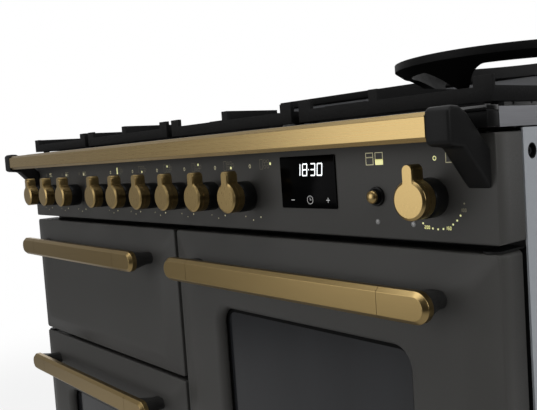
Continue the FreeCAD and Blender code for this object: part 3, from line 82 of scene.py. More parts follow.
def camera_at_the_corner():
    camera = linked("camera", bpy.data.cameras.new("camera"))
    turn = Matrix((camera_right, camera_up, camera_back)).transposed().to_4x4()
    camera.matrix_world = Matrix.Translation(camera_place) @ turn
    camera.data.sensor_width = sensor_width
    camera.data.lens = lens_length
    camera.data.shift_y = lens_shift
    camera.data.clip_start = near_limit
    bpy.context.scene.camera = camera


def soft_lamp(name, place, aim, size, radiance):
    lamp = bpy.data.lights.new(name, "AREA")
    lamp.shape = "RECTANGLE"
    lamp.size, lamp.size_y = size
    lamp.energy = radiance * math.pi * size[0] * size[1]
    turn = (Vector(aim) - Vector(place)).to_track_quat("-Z", "Y").to_matrix().to_4x4()
    linked(name, lamp).matrix_world = Matrix.Translation(place) @ turn


def feed(tree, node, inputs):
    """Sets sockets to plain values, or links them to other sockets."""
    for socket, value in inputs.items():
        if isinstance(value, bpy.types.NodeSocket):
            tree.links.new(value, node.inputs[socket])
        else:
            node.inputs[socket].default_value = value


def added(tree, kind, inputs=(), **settings):
    """A new node with its settings and its sockets filled in."""
    node = tree.nodes.new(kind)
    for name, value in settings.items():
        setattr(node, name, value)
    feed(tree, node, dict(inputs))
    return node


def arithmetic(tree, operation, *values):
    """One sum of sockets or plain values."""
    return added(tree, "ShaderNodeMath", enumerate(values), operation=operation).outputs[0]


def mapped(tree, value, span, levels, **settings):
    """A change from one level to another along a value."""
    ends = {"From Min": span[0], "From Max": span[1], "To Min": levels[0], "To Max": levels[1]}
    return added(tree, "ShaderNodeMapRange", {"Value": value, **ends}, **settings).outputs["Result"]


def smooth_rise(tree, value, span, levels):
    """A smooth change from one level to another along a value."""
    return mapped(tree, value, span, levels, interpolation_type="SMOOTHSTEP")


def seen_directly(tree):
    """One for rays that show the backdrop: straight from the camera, mirrored or through glass."""
    path = added(tree, "ShaderNodeLightPath").outputs
    mirrored = arithmetic(tree, "MAXIMUM", path["Is Camera Ray"], path["Is Glossy Ray"])
    return arithmetic(tree, "MAXIMUM", mirrored, path["Is Transmission Ray"])


def room_shade(tree, ahead, aside):
    """The backdrop's level: white to the camera, dimmer as mirrored from in front and the right."""
    camera = added(tree, "ShaderNodeLightPath").outputs["Is Camera Ray"]
    front = smooth_rise(tree, ahead, room_front, room_front_levels)
    side = smooth_rise(tree, aside, room_side, room_side_levels)
    return arithmetic(tree, "MAXIMUM", arithmetic(tree, "MULTIPLY", front, side), camera)


def studio_world():
    world = bpy.data.worlds.new("studio")
    world.use_nodes = True
    tree = world.node_tree
    tree.nodes.clear()
    direction = added(tree, "ShaderNodeTexCoord").outputs["Generated"]
    parts = added(tree, "ShaderNodeSeparateXYZ", {0: direction}).outputs
    shade = room_shade(tree, parts["Y"], parts["X"])
    shown = added(tree, "ShaderNodeBackground", {"Color": white, "Strength": shade}).outputs[0]
    fill = added(tree, "ShaderNodeBackground", {"Color": white, "Strength": fill_level}).outputs[0]
    mix = added(tree, "ShaderNodeMixShader", {"Fac": seen_directly(tree), 1: fill, 2: shown})
    added(tree, "ShaderNodeOutputWorld", {"Surface": mix.outputs[0]})
    bpy.context.scene.world = world


def floor_finish():
    material = bpy.data.materials.new("studio_floor")
    material.use_nodes = True
    tree = material.node_tree
    base = tree.nodes["Principled BSDF"]
    feed(tree, base, {"Base Color": floor_colour, "Roughness": floor_roughness})
    place = added(tree, "ShaderNodeTexCoord").outputs["Object"]
    parts = added(tree, "ShaderNodeSeparateXYZ", {0: place}).outputs
    distance = added(tree, "ShaderNodeVectorMath", {0: place}, operation="LENGTH").outputs["Value"]
    ahead = arithmetic(tree, "DIVIDE", parts["Y"], distance)
    aside = arithmetic(tree, "DIVIDE", parts["X"], distance)
    far = smooth_rise(tree, distance, floor_fade, (0, 1))
    levels = {"Factor": far, "A": 1, "B": room_shade(tree, ahead, aside)}
    shade = added(tree, "ShaderNodeMix", levels, data_type="FLOAT").outputs["Result"]
    camera = added(tree, "ShaderNodeLightPath").outputs["Is Camera Ray"]
    dimmed = smooth_rise(tree, camera, (0, 1), mirrored_floor_levels)
    strength = arithmetic(tree, "MULTIPLY", shade, dimmed)
    glow = added(tree, "ShaderNodeEmission", {"Strength": strength}).outputs[0]
    reach = smooth_rise(tree, far, (0, 1), floor_glow_levels)
    share = arithmetic(tree, "MULTIPLY", reach, seen_directly(tree))
    mix = added(tree, "ShaderNodeMixShader", {"Fac": share, 1: base.outputs[0], 2: glow})
    feed(tree, tree.nodes["Material Output"], {"Surface": mix.outputs[0]})
    return material


def studio_floor():
    mesh = bpy.data.meshes.new("floor")
    corners = [(x * floor_reach, y * floor_reach, 0) for x, y in ((-1, -1), (1, -1), (1, 1), (-1, 1))]
    mesh.from_pydata(corners, [], [(0, 1, 2, 3)])
    mesh.materials.append(floor_finish())
    linked("floor", mesh)


camera_at_the_corner()
for lamp_values in lamps:
    soft_lamp(*lamp_values)
studio_world()
studio_floor()
bpy.context.scene.view_settings.view_transform = "Standard"


# Grill door, oven doors and drawer front
# Each is one pressed steel sheet: a raised middle, a sloping border and edges folded back.
# The sheet is sprayed in a dark grey satin enamel, and the oven doors have a window cut in it.
fine_detail = 4
broad_scale = 5.0
broad_detail = 2
broad_share = 0.35
grain_range = (0.3, 0.7)
weld_distance = 1e-6


def finish(name, dark, light, grain, roughness, bump, stretch=(1, 1, 1), **constants):
    """A surface with fine grain in its colour, its gloss and its relief."""
    material = bpy.data.materials.new(name)
    material.use_nodes = True
    tree = material.node_tree
    place = added(tree, "ShaderNodeTexCoord").outputs["Object"]
    along = added(tree, "ShaderNodeMapping", {"Vector": place, "Scale": stretch}).outputs[0]
    fine_grain = {"Vector": along, "Scale": grain, "Detail": fine_detail}
    fine = added(tree, "ShaderNodeTexNoise", fine_grain).outputs["Fac"]
    broad_grain = {"Vector": place, "Scale": broad_scale, "Detail": broad_detail}
    broad = added(tree, "ShaderNodeTexNoise", broad_grain).outputs["Fac"]
    blend = added(tree, "ShaderNodeMix", {"Factor": broad_share, "A": fine, "B": broad}, data_type="FLOAT")
    ramp = added(tree, "ShaderNodeValToRGB", {"Fac": blend.outputs["Result"]})
    for stop, position, colour in zip(ramp.color_ramp.elements, grain_range, (dark, light)):
        stop.position = position
        stop.color = tuple(colour) + (1,)
    relief = added(tree, "ShaderNodeBump", {"Strength": bump[0], "Distance": bump[1], "Height": fine})
    base = tree.nodes["Principled BSDF"]
    gloss = mapped(tree, fine, grain_range, roughness)
    feed(tree, base, {"Base Color": ramp.outputs["Color"], "Roughness": gloss, "Normal": relief.outputs[0]})
    feed(tree, base, {socket.replace("_", " "): value for socket, value in constants.items()})
    return material


def polar(x, z, radius, angle):
    return x + radius * math.cos(angle), z + radius * math.sin(angle)


def arc(x, z, y, radius, start, sweep, steps):
    """Points along a round, seen from the front, at one depth."""
    spots = [polar(x, z, radius, start + sweep * step / steps) for step in range(steps + 1)]
    return [(across, y, up) for across, up in spots]


def corner_points(x_range, z_range, y, radius, steps=8):
    """Outline of a rectangle with round corners, seen from the front, at one depth."""
    low_x, high_x = x_range[0] + radius, x_range[1] - radius
    low_z, high_z = z_range[0] + radius, z_range[1] - radius
    points = []
    for quarter, (x, z) in enumerate(((high_x, high_z), (low_x, high_z), (low_x, low_z), (high_x, low_z))):
        points.extend(arc(x, z, y, radius, quarter * math.pi / 2, math.pi / 2, steps))
    return points


def inset_points(x_range, z_range, inset, y, radius):
    across, up = ((ends[0] + inset, ends[1] - inset) for ends in (x_range, z_range))
    return corner_points(across, up, y, radius)


def skin(rings, start_closed=False, end_closed=False):
    """Vertices and faces through a row of outlines with the same number of points."""
    count = len(rings[0])
    vertices = [point for ring in rings for point in ring]
    faces = []
    for ring in range(len(rings) - 1):
        low, high = ring * count, (ring + 1) * count
        for index in range(count):
            following = (index + 1) % count
            faces.append((low + index, low + following, high + following, high + index))
    if start_closed:
        faces.append(tuple(reversed(range(count))))
    if end_closed:
        last = (len(rings) - 1) * count
        faces.append(tuple(last + index for index in range(count)))
    return vertices, faces


def shaded(mesh, smooth_angle):
    """Smooth shading, with hard edges above an angle."""
    mesh.shade_smooth()
    mesh.set_sharp_from_angle(angle=math.radians(smooth_angle))


def piece(name, shells, materials, smooth_angle=35.0):
    """One object from one or more shells of vertices and faces, with outward faces."""
    mesh = bpy.data.meshes.new(name)
    vertices, faces, slots = [], [], []
    for shell in shells:
        offset = len(vertices)
        vertices.extend(tuple(point) for point in shell[0])
        faces.extend(tuple(index + offset for index in face) for face in shell[1])
        slots.extend([shell[2] if len(shell) > 2 else 0] * len(shell[1]))
    mesh.from_pydata(vertices, [], faces)
    for polygon, slot in zip(mesh.polygons, slots):
        polygon.material_index = slot
    for material in materials:
        mesh.materials.append(material)
    sheet = bmesh.new()
    sheet.from_mesh(mesh)
    bmesh.ops.remove_doubles(sheet, verts=sheet.verts, dist=weld_distance)
    bmesh.ops.recalc_face_normals(sheet, faces=sheet.faces)
    sheet.to_mesh(mesh)
    sheet.free()
    shaded(mesh, smooth_angle)
    return linked(name, mesh)


def settled(made):
    """Turns an object's modifiers into its plain mesh."""
    bpy.context.view_layer.update()
    graph = bpy.context.evaluated_depsgraph_get()
    result = bpy.data.meshes.new_from_object(made.evaluated_get(graph))
    made.modifiers.clear()
    made.data = result
    return made


def thicken(sheet, thickness):
    """Gives an open sheet its wall, inwards."""
    wall = sheet.modifiers.new("wall", "SOLIDIFY")
    wall.thickness = thickness
    wall.offset = -1.0
    wall.use_even_offset = True
    settled(sheet)


def placed(made, body, node=None):
    """Files a piece under its body and hides the node that it stands for."""
    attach(made, body)
    if node:
        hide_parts(node)


def smooth_share(t):
    return t * t * (3 - 2 * t)


def quarter_bend(size, steps):
    """Pairs of inset and depth that take a sheet round a bend."""
    angles = [math.pi / 2 * step / steps for step in range(steps + 1)]
    return [(size * (1 - math.cos(angle)), size * (1 - math.sin(angle))) for angle in angles]


paint = finish(
    "satin_grey_enamel", (0.040, 0.0390, 0.0365), (0.047, 0.0460, 0.0435), 900, (0.40, 0.50), (0.06, 0.0004),
    Specular_IOR_Level=0.18)
door_fold = 0.038
door_raise = 0.009
door_side_border = 0.040
door_low_border = 0.030
door_flat_edge = 0.012
door_bend = 0.0022
door_bend_depth_share = 0.8
door_bend_steps = 4
door_slope_share = 0.55
door_slope_steps = 12
door_corner = 0.005
raised_corner = 0.016
sheet_thickness = 0.0012
sheet_smooth_limit = 50.0
window_side_margin = 0.107
window_top_margin = 0.104
window_corner = 0.022
window_depth = 0.0138
window_soft_edge = 0.0110
window_edge_steps = 6
lug_inset = 0.022
lug_slot_width = 0.014
lug_slot_height = 0.019
lug_slot_start = 0.012


def door_outline(low, high, inset, low_inset, y, radius):
    return corner_points((low.x + inset, high.x - inset), (low.z + low_inset, high.z - inset), y, radius)


def window_outline(low, high, grow, y):
    """Outline of the window, grown by a margin."""
    x_range = (low.x + window_side_margin, high.x - window_side_margin)
    z_range = (low.z + window_side_margin, high.z - window_top_margin)
    return inset_points(x_range, z_range, -grow, y, window_corner + grow)


def rectangle(x_range, z_range, y):
    return [(x_range[0], y, z_range[0]), (x_range[1], y, z_range[0]),
            (x_range[1], y, z_range[1]), (x_range[0], y, z_range[1])]


def lug_slots(sheet, low, high):
    """Cuts the two slots in the lower edge that let the door drop round its hinge lugs."""
    start = low.y + lug_slot_start
    for x in (low.x + lug_inset, high.x - lug_inset):
        sides = (x - lug_slot_width / 2, x + lug_slot_width / 2)
        heights = (low.z - lug_slot_height, low.z + lug_slot_height)
        rings = [rectangle(sides, heights, y) for y in (start, start + door_raise + door_fold)]
        cutter = piece("lug_slot", [skin(rings, True, True)], [])
        cut = sheet.modifiers.new("slot", "BOOLEAN")
        cut.operation = "DIFFERENCE"
        cut.solver = "EXACT"
        cut.object = cutter
        settled(sheet)
        bpy.data.objects.remove(cutter)


def painted_front(name, node, body, has_window, has_slots=False):
    low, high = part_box(node)
    edge_y = low.y + door_raise
    rings = [door_outline(low, high, 0, 0, edge_y + door_fold, door_corner)]
    for inset, depth in quarter_bend(door_bend, door_bend_steps):
        y = edge_y + depth * door_bend_depth_share
        rings.append(door_outline(low, high, inset, inset, y, door_corner - inset / 2))
    for step in range(1, door_slope_steps + 1):
        t = step / door_slope_steps
        inset = door_bend + (door_side_border - door_bend) * t
        low_inset = door_bend + (door_low_border - door_bend) * t
        rise = door_raise * (door_slope_share * t + (1 - door_slope_share) * smooth_share(t))
        radius = door_corner + (raised_corner - door_corner) * t
        rings.append(door_outline(low, high, inset, low_inset, edge_y - rise, radius))
    side_inset, low_inset = door_side_border + door_flat_edge, door_low_border + door_flat_edge
    rings.append(door_outline(low, high, side_inset, low_inset, low.y, raised_corner))
    if has_window:
        for depth, grow in quarter_bend(window_soft_edge, window_edge_steps):
            rings.append(window_outline(low, high, grow, low.y + depth))
        rings.append(window_outline(low, high, 0, low.y + window_depth))
    made = piece(name, [skin(rings, end_closed=not has_window)], [paint], sheet_smooth_limit)
    thicken(made, sheet_thickness)
    if has_slots:
        lug_slots(made, low, high)
    placed(made, body, node)


painted_front("grill_door_front", "grill_door_panel", "grill_door", False, has_slots=True)
painted_front("left_oven_door_front", "left_door_panel", "left_oven_door", True)
painted_front("right_oven_door_front", "right_door_panel", "right_oven_door", True)
painted_front("drawer_front_sheet", "drawer_front", "storage_drawer", False)


# Door handles
# Each is a flat satin brass bar between two cast end pieces, held on by two tapered posts.
# The front edges are chamfered, and a fine joint shows where the bar meets each end piece.
brass = finish(
    "brushed_brass_along", (0.308, 0.220, 0.094), (0.330, 0.236, 0.102), 1800, (0.28, 0.32), (0.01, 0.0001),
    stretch=(0.010, 1, 1), Metallic=1.0)
post_black = finish(
    "satin_black_post", (0.010, 0.010, 0.0095), (0.014, 0.0135, 0.013), 900, (0.40, 0.50), (0.04, 0.0002),
    Specular_IOR_Level=0.25)
handle_end_length = 0.060
handle_end_steps = 20
handle_joint = 0.0005
handle_depth = 0.012
handle_chamfer = 0.0044
handle_soft = 0.0005
bar_smooth_limit = 12.0
post_front = (0.044, 0.027)
post_foot = (0.028, 0.019)
post_inset = 0.0025
post_overlap = 0.0005
post_taper_rate = 1.15
post_steps = 8
post_side_steps = 10


def depth_steps(front, back):
    """Pairs of depth and inset that round the chamfer and the rear edge of a bar."""
    c, s = handle_chamfer, handle_soft
    return (
        (back, s), (back - s * 0.3, s * 0.3), (back - s, 0),
        (front + c + s * 0.6, 0), (front + c, s * 0.25), (front + s * 0.7, c - s * 0.7),
        (front + s * 0.2, c - s * 0.1), (front, c + s * 0.7), (front, c + s * 2),
    )


def end_outline(end_x, inward, z, half, inset, y):
    """Outline of an end piece: round at the outside, straight at the joint."""
    joint_x = end_x + inward * handle_end_length
    radius = half - inset
    tip = arc(end_x + inward * half, z, y, radius, math.pi / 2, inward * math.pi, handle_end_steps)
    return [(joint_x, y, z + radius)] + tip + [(joint_x, y, z - radius)]


def stadium(x, z, size, y):
    radius = size[1] / 2
    half = size[0] / 2 - radius
    return (arc(x + half, z, y, radius, -math.pi / 2, math.pi, post_side_steps)
            + arc(x - half, z, y, radius, math.pi / 2, math.pi, post_side_steps))


def handle_post(x, z, start, foot):
    rings = []
    for step in range(post_steps + 1):
        t = step / post_steps
        share = smooth_share(min(1, t * post_taper_rate))
        size = [front + (back - front) * share for front, back in zip(post_front, post_foot)]
        rings.append(stadium(x, z, size, start + (foot - start) * t))
    return skin(rings, True, True) + (1,)


def bar_handle(name, node, body):
    low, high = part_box(node)
    z, half = (low.z + high.z) / 2, (high.z - low.z) / 2
    front, back = low.y, low.y + handle_depth
    shells = []
    for end_x, inward in ((low.x, 1), (high.x, -1)):
        rings = [end_outline(end_x, inward, z, half, inset, y) for y, inset in depth_steps(front, back)]
        shells.append(skin(rings, True, True))
        post_x = end_x + inward * (post_inset + post_front[0] / 2)
        shells.append(handle_post(post_x, z, back - post_overlap, high.y))
    gap = handle_end_length + handle_joint
    bar_x = (low.x + gap, high.x - gap)
    rings = [rectangle(bar_x, (low.z + inset, high.z - inset), y) for y, inset in depth_steps(front, back)]
    shells.append(skin(rings, True, True))
    placed(piece(name, shells, [brass, post_black], bar_smooth_limit), body, node)


bar_handle("grill_door_bar_handle", "grill_door_handle", "grill_door")
bar_handle("left_door_bar_handle", "left_door_handle", "left_oven_door")
bar_handle("right_door_bar_handle", "right_door_handle", "right_oven_door")
bar_handle("drawer_bar_handle", "drawer_handle", "storage_drawer")


# Control knobs
# Each has a solid brass cap with a lever tab, turned and brushed, over a gloss black skirt.
# The face has a bevelled rim, the collar has a fine groove, and the shaft hides behind the skirt.
def grey(level):
    return (level, level, level)


knob_brass = finish(
    "brushed_brass_cap", (0.342, 0.244, 0.103), (0.356, 0.254, 0.109), 1600, (0.27, 0.30), (0.004, 0.0001),
    stretch=(1, 1, 0.06), Metallic=1.0)
skirt_black = finish(
    "gloss_black_moulding", grey(0.003), grey(0.004), 1200, (0.30, 0.36), (0.005, 0.0001),
    Specular_IOR_Level=0.12)
cap_depth = 0.0175
cap_radius = 0.0192
cap_face_radius = 0.0166
groove_radius = 0.0187
cap_smooth_limit = 16.0
lever_half = 0.0058
lever_top = 0.034
lever_fillet = 0.0026
round_steps = 44
fillet_steps = 6
tip_steps = 18
turned_smooth_limit = 40.0
skirt_depth = 0.0200
skirt_radius = 0.0196
skirt_face_radius = 0.0166
skirt_soft = 0.0018
skirt_edge = 0.0005
skirt_hollow_radius = 0.013
skirt_hollow_end = 0.0182
skirt_steps = 56
# Each row is the cap's radius, how far the lever lies inside its full outline, and the depth.
cap_rows = (
    (cap_face_radius - 0.0012, 0.0014, 0),
    (cap_face_radius - 0.0001, 0.0004, 0),
    (cap_face_radius, 0.0003, 0.00005),
    (cap_radius - 0.0001, 0.00005, 0.0019),
    (cap_radius, 0, 0.0021),
    (cap_radius, 0, 0.0079),
    (groove_radius, 0, 0.0080),
    (groove_radius, 0, 0.0087),
    (cap_radius, 0, 0.0088),
    (cap_radius, 0, cap_depth - 0.0008),
    (cap_radius - 0.0005, 0.0005, cap_depth),
)
knob_bodies = (
    "grill_knob", "oven_function_knob", "left_oven_knob", "hot_zone_knob", "middle_left_front_knob",
    "middle_left_rear_knob", "middle_right_rear_knob", "middle_right_front_knob", "wok_burner_knob",
    "right_oven_knob",
)


def circle(x, z, y, radius, steps):
    return arc(x, z, y, radius, 0, math.pi * 2, steps)[:-1]


def turned(x, z, face, profile, closed=True, steps=40):
    """Shell turned about a front-to-back axis from pairs of radius and depth behind the face."""
    return skin([circle(x, z, face + depth, radius, steps) for radius, depth in profile], closed, closed)


def keyhole(x, z, y, radius, inset):
    """Outline of the cap with its lever tab standing up, and a small fillet where they meet."""
    half, top, fillet = lever_half - inset, lever_top - inset, lever_fillet
    swing = math.acos(min(1, (half + fillet) / (radius + fillet)))
    fillet_z = z + (radius + fillet) * math.sin(swing)
    return (arc(x, z, y, radius, swing, -math.pi - 2 * swing, round_steps)
            + arc(x - half - fillet, fillet_z, y, fillet, -swing, swing, fillet_steps)[1:]
            + arc(x, z + top - half, y, half, math.pi, -math.pi, tip_steps)
            + arc(x + half + fillet, fillet_z, y, fillet, math.pi, swing, fillet_steps)[1:-1])


def lever_knob(node, body):
    low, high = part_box(node)
    x, z = (low.x + high.x) / 2, high.z - lever_top
    rings = [keyhole(x, z, low.y + depth, radius, inset) for radius, inset, depth in cap_rows]
    cap = piece(node + "_brass_cap", [skin(rings, True, True)], [knob_brass], cap_smooth_limit)
    placed(cap, body, node)
    back = cap_depth + skirt_depth
    profile = (
        (skirt_face_radius, cap_depth - skirt_edge), (skirt_radius - skirt_soft, cap_depth),
        (skirt_radius - skirt_edge, cap_depth + skirt_edge), (skirt_radius, cap_depth + skirt_soft),
        (skirt_radius, back - skirt_soft), (skirt_radius - skirt_edge, back - skirt_edge),
        (skirt_radius - skirt_soft, back), (skirt_hollow_radius, back),
        (skirt_hollow_radius, high.y - low.y - skirt_hollow_end),
    )
    shell = turned(x, z, low.y, profile, steps=skirt_steps)
    placed(piece(node + "_skirt", [shell], [skirt_black], turned_smooth_limit), body, node)


for knob_number, knob_body in enumerate(knob_bodies, 1):
    lever_knob("knob_%02d" % knob_number, knob_body)


# Control panel
# A folded steel fascia with short returns at its sides, top and bottom, sprayed like the doors.
# It hides the taps and switches, and thin black strips in its side gaps are painted shade for the dark seams
# to the side sheets.
panel_foot = 0.004
panel_height = 0.1033
panel_return = 0.0432
panel_bend = 0.0014
panel_bend_steps = 6
panel_corner = 0.0022
seam_shade_inset = 0.0016
seam_shade_width = 0.006
seam_shade_lap = 0.001
seam_shade_edge = 0.0006
seam_shade_edge_steps = 4
fine_smooth_limit = 30.0


def panel_span():
    low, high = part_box("control_panel")
    return (low.x, high.x), (low.z + panel_foot, low.z + panel_foot + panel_height), low.y


def control_fascia():
    x_range, z_range, front = panel_span()
    rings = [corner_points(x_range, z_range, front + panel_return, panel_corner)]
    for inset, depth in quarter_bend(panel_bend, panel_bend_steps):
        rings.append(inset_points(x_range, z_range, inset, front + depth, panel_corner))
    made = piece("control_fascia", [skin(rings, end_closed=True)], [paint], sheet_smooth_limit)
    thicken(made, sheet_thickness)
    placed(made, "cooker", "control_panel")


# Black strips just inside the gaps between the panel and the side sheets: painted shade for the dark seams.
def seam_shade_strips():
    x_range, z_range, front = panel_span()
    depth = (front + panel_return - seam_shade_lap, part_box("side_panels")[0].y)
    shells = []
    for outer_x, inward in zip(x_range, (1, -1)):
        across = sorted((outer_x + inward * seam_shade_inset, outer_x + inward * (seam_shade_inset + seam_shade_width)))
        outline = corner_points(across, depth, 0, seam_shade_edge, seam_shade_edge_steps)
        shells.append(skin([[(x, y, z) for x, _, y in outline] for z in z_range], True, True))
    seam_strips = piece("panel_seam_painted_shade", shells, [skirt_black], fine_smooth_limit)
    placed(seam_strips, "cooker")


control_fascia()
seam_shade_strips()


# Markings on the control panel
# Fine pale gold symbols are screen printed on the enamel: a zero over each knob, a plan of the hob
# with one burner picked out, a plan of the ovens, flame dots and the temperature scale.
gold_print = {"grain": 2500, "roughness": (0.45, 0.6), "bump": (0.05, 0.0001)}
print_gold = finish("pale_gold_print", (0.72, 0.67, 0.40), (0.86, 0.81, 0.52), **gold_print)
# The picked-out marks and the scale dots glow faintly: a painted glow, as the print has no light behind it.
print_painted_glow = finish(
    "gold_print_painted_glow", (0.95, 0.93, 0.42), (1.0, 0.99, 0.50), **gold_print,
    Emission_Color=(1.0, 0.98, 0.45, 1), Emission_Strength=0.22)
print_faint = finish("faint_gold_print", (0.22, 0.20, 0.13), (0.30, 0.28, 0.18), **gold_print)
# The inks, by their place among the materials of the markings.
gold, bright, faint = range(3)
print_lift = 0.00012
knob_rise = 0.0447
zero_rise = 0.0824
# The zero over a knob: its radius, line, upright stretch and ink.
oven_zero = (0.0019, 0.0005, 1.25, faint)
hob_zero = (0.0021, 0.0008, 1.25, gold)
scale_zero = (0.0022, 0.0009, 1.1, bright)
level_dot_angle = math.radians(29.5)
level_dots = ((-1, 0.0007), (0, 0.0009), (1, 0.0012))
first_hob_knob = 3
hob_plan_rise = 0.0780
hob_plan_line = 0.0003
hob_plan_zone = ((0.0205, 0.0265), (0, 0.0125))
hob_plan_lit_zone = ((0.0225, 0.0262), (0.0010, 0.0120))
lit_burner_radius = 0.0019
# The burners in the plan: how far across, how far up and the radius.
hob_plan_burners = (
    (0.0304, 0.0032, 0.0022), (0.0304, 0.0098, 0.0022), (0.0365, 0.0098, 0.0022), (0.0365, 0.0032, 0.0022),
    (0.0412, 0.0066, 0.0027),
)
hob_knobs = len(hob_plan_burners) + 1
zero_marks = (oven_zero,) * first_hob_knob + (hob_zero,) * hob_knobs + (scale_zero,)
oven_plan_line = 0.0007
oven_plan_doors = {
    "grill": ((0, 0.0107), (0.0080, 0.0133)),
    "left": ((0, 0.0107), (0, 0.0084)),
    "right": ((0.0132, 0.0240), (0.0054, 0.0133)),
    "drawer": ((0.0132, 0.0240), (0, 0.0060)),
}
small_plan_place = (0.0160, 0.0791)
small_plan_scale = 0.5
small_plan_doors = ("grill", "left", "left")
large_plan_place = (-0.0895, 0.0779)
empty_frame = ((0.0128, 0.0236), (0.0775, 0.0880))
scale_radius = 0.0320
scale_step = math.pi * 2 / 32
scale_numbers = (("100", 10, faint), ("150", 14, bright), ("200", 18, bright))
first_scale_dot = 9
first_scale_dot_radius = 0.0009
number_radius = 0.0330
number_height = 0.0034
number_width_share = 0.52
number_pitch_share = 1.35
number_line_share = 0.15
scale_dots = {"Dot radius": 0.00105, "First angle": 11 * scale_step, "Steps": 9, "Numbers every": 4}
scale_dot_corners = 14
number_place = 3
match_width = 0.1
segment_map = {"0": "abcdef", "1": "bc", "2": "abged", "3": "abgcd", "5": "afgcd", "8": "abcdefg"}
segment_tip_share = 0.8


def flat_disc(x, z, y, radius, steps=16):
    return circle(x, z, y, radius, steps), [tuple(range(steps))]


def inked(shells, slot):
    """The same marks printed in another strength of the ink."""
    return [(shell[0], shell[1], slot) for shell in shells]


def flat_ring(x, z, y, radius, line, stretch=1.0, steps=24):
    rings = [circle(0, 0, y, reach, steps) for reach in (radius, radius - line)]
    return skin([[(x + across, y, z + stretch * up) for across, _, up in ring] for ring in rings])


def flat_bar(x_range, z_range, y):
    return rectangle(x_range, z_range, y), [(0, 1, 2, 3)]


def flat_frame(x_range, z_range, y, line):
    (left, right), (low, high) = x_range, z_range
    inside = (low + line, high - line)
    spans = ((x_range, (low, low + line)), (x_range, (high - line, high)),
             ((left, left + line), inside), ((right - line, right), inside))
    return [flat_bar(across, up, y) for across, up in spans]


def moved(ranges, x, z, scale=1.0):
    """A pair of ranges, scaled and set at a place."""
    return [tuple(start + end * scale for end in ends) for start, ends in zip((x, z), ranges)]


def segment_digit(digit, x, z, y, width, height, line, slant=0.1, gap=0.0):
    """Shells of one seven-segment figure, its lower left corner at x, z."""
    inner = line / 2
    left, right = inner, width - inner
    low, half, high = inner, height / 2, height - inner
    spans = {
        "a": ((left, high), (right, high)), "b": ((right, half), (right, high)),
        "c": ((right, low), (right, half)), "d": ((left, low), (right, low)),
        "e": ((left, low), (left, half)), "f": ((left, half), (left, high)),
        "g": ((left, half), (right, half)),
    }
    shells = []
    for name in segment_map[digit]:
        (x0, z0), (x1, z1) = spans[name]
        along = Vector((x1 - x0, 0, z1 - z0)).normalized()
        across = Vector((-along.z, 0, along.x)) * inner
        start = Vector((x0, 0, z0)) + along * gap
        end = Vector((x1, 0, z1)) - along * gap
        tip = along * inner * segment_tip_share
        outline = [start - tip, start - across, end - across, end + tip, end + across, start + across]
        points = [(x + p.x + slant * p.z, y, z + p.z) for p in outline]
        shells.append((points, [tuple(range(len(points)))]))
    return shells


def number_marks(text, x, z, y):
    height = number_height
    width, line = height * number_width_share, height * number_line_share
    pitch = width * number_pitch_share
    left, low = x - pitch * len(text) / 2, z - height / 2
    shells = []
    for place, digit in enumerate(text):
        shells.extend(segment_digit(digit, left + place * pitch, low, y, width, height, line, slant=0.0))
    return shells


def oven_plan(x, z, y, filled, scale=1.0, ink=bright):
    """Two columns of two doors; one door is filled in."""
    shells = []
    for name, ranges in oven_plan_doors.items():
        x_range, z_range = moved(ranges, x, z, scale)
        if name == filled:
            shells.extend(inked([flat_bar(x_range, z_range, y)], ink))
        else:
            shells.extend(flat_frame(x_range, z_range, y, oven_plan_line * scale))
    return shells


def hob_plan(x, z, y, lit):
    """The hot zone, two columns of two burners and the wok burner; the lit one is filled in."""
    if lit == 0:
        shells = inked([flat_bar(*moved(hob_plan_lit_zone, x, z), y)], bright)
    else:
        shells = inked(flat_frame(*moved(hob_plan_zone, x, z), y, hob_plan_line), faint)
    for number, (across, up, radius) in enumerate(hob_plan_burners, 1):
        if number == lit:
            shells.extend(inked([flat_disc(x + across, z + up, y, lit_burner_radius)], bright))
        else:
            shells.extend(inked([flat_ring(x + across, z + up, y, radius, hob_plan_line)], faint))
    return shells


def tree_with_inputs(name, inputs):
    """A node tree with named inputs, and their sockets."""
    tree = bpy.data.node_groups.new(name, "GeometryNodeTree")
    for label, kind in inputs:
        tree.interface.new_socket(label, in_out="INPUT", socket_type="NodeSocket" + kind)
    tree.interface.new_socket("Geometry", in_out="OUTPUT", socket_type="NodeSocketGeometry")
    return tree, added(tree, "NodeGroupInput").outputs


def set_out(tree, material, sockets):
    """Ends a tree: one shape on every point, made real and given its material."""
    copies = added(tree, "GeometryNodeInstanceOnPoints", sockets).outputs[0]
    real = added(tree, "GeometryNodeRealizeInstances", {0: copies}).outputs[0]
    coated = added(tree, "GeometryNodeSetMaterial", {"Geometry": real, "Material": material}).outputs[0]
    added(tree, "NodeGroupOutput", {0: coated})
    return tree


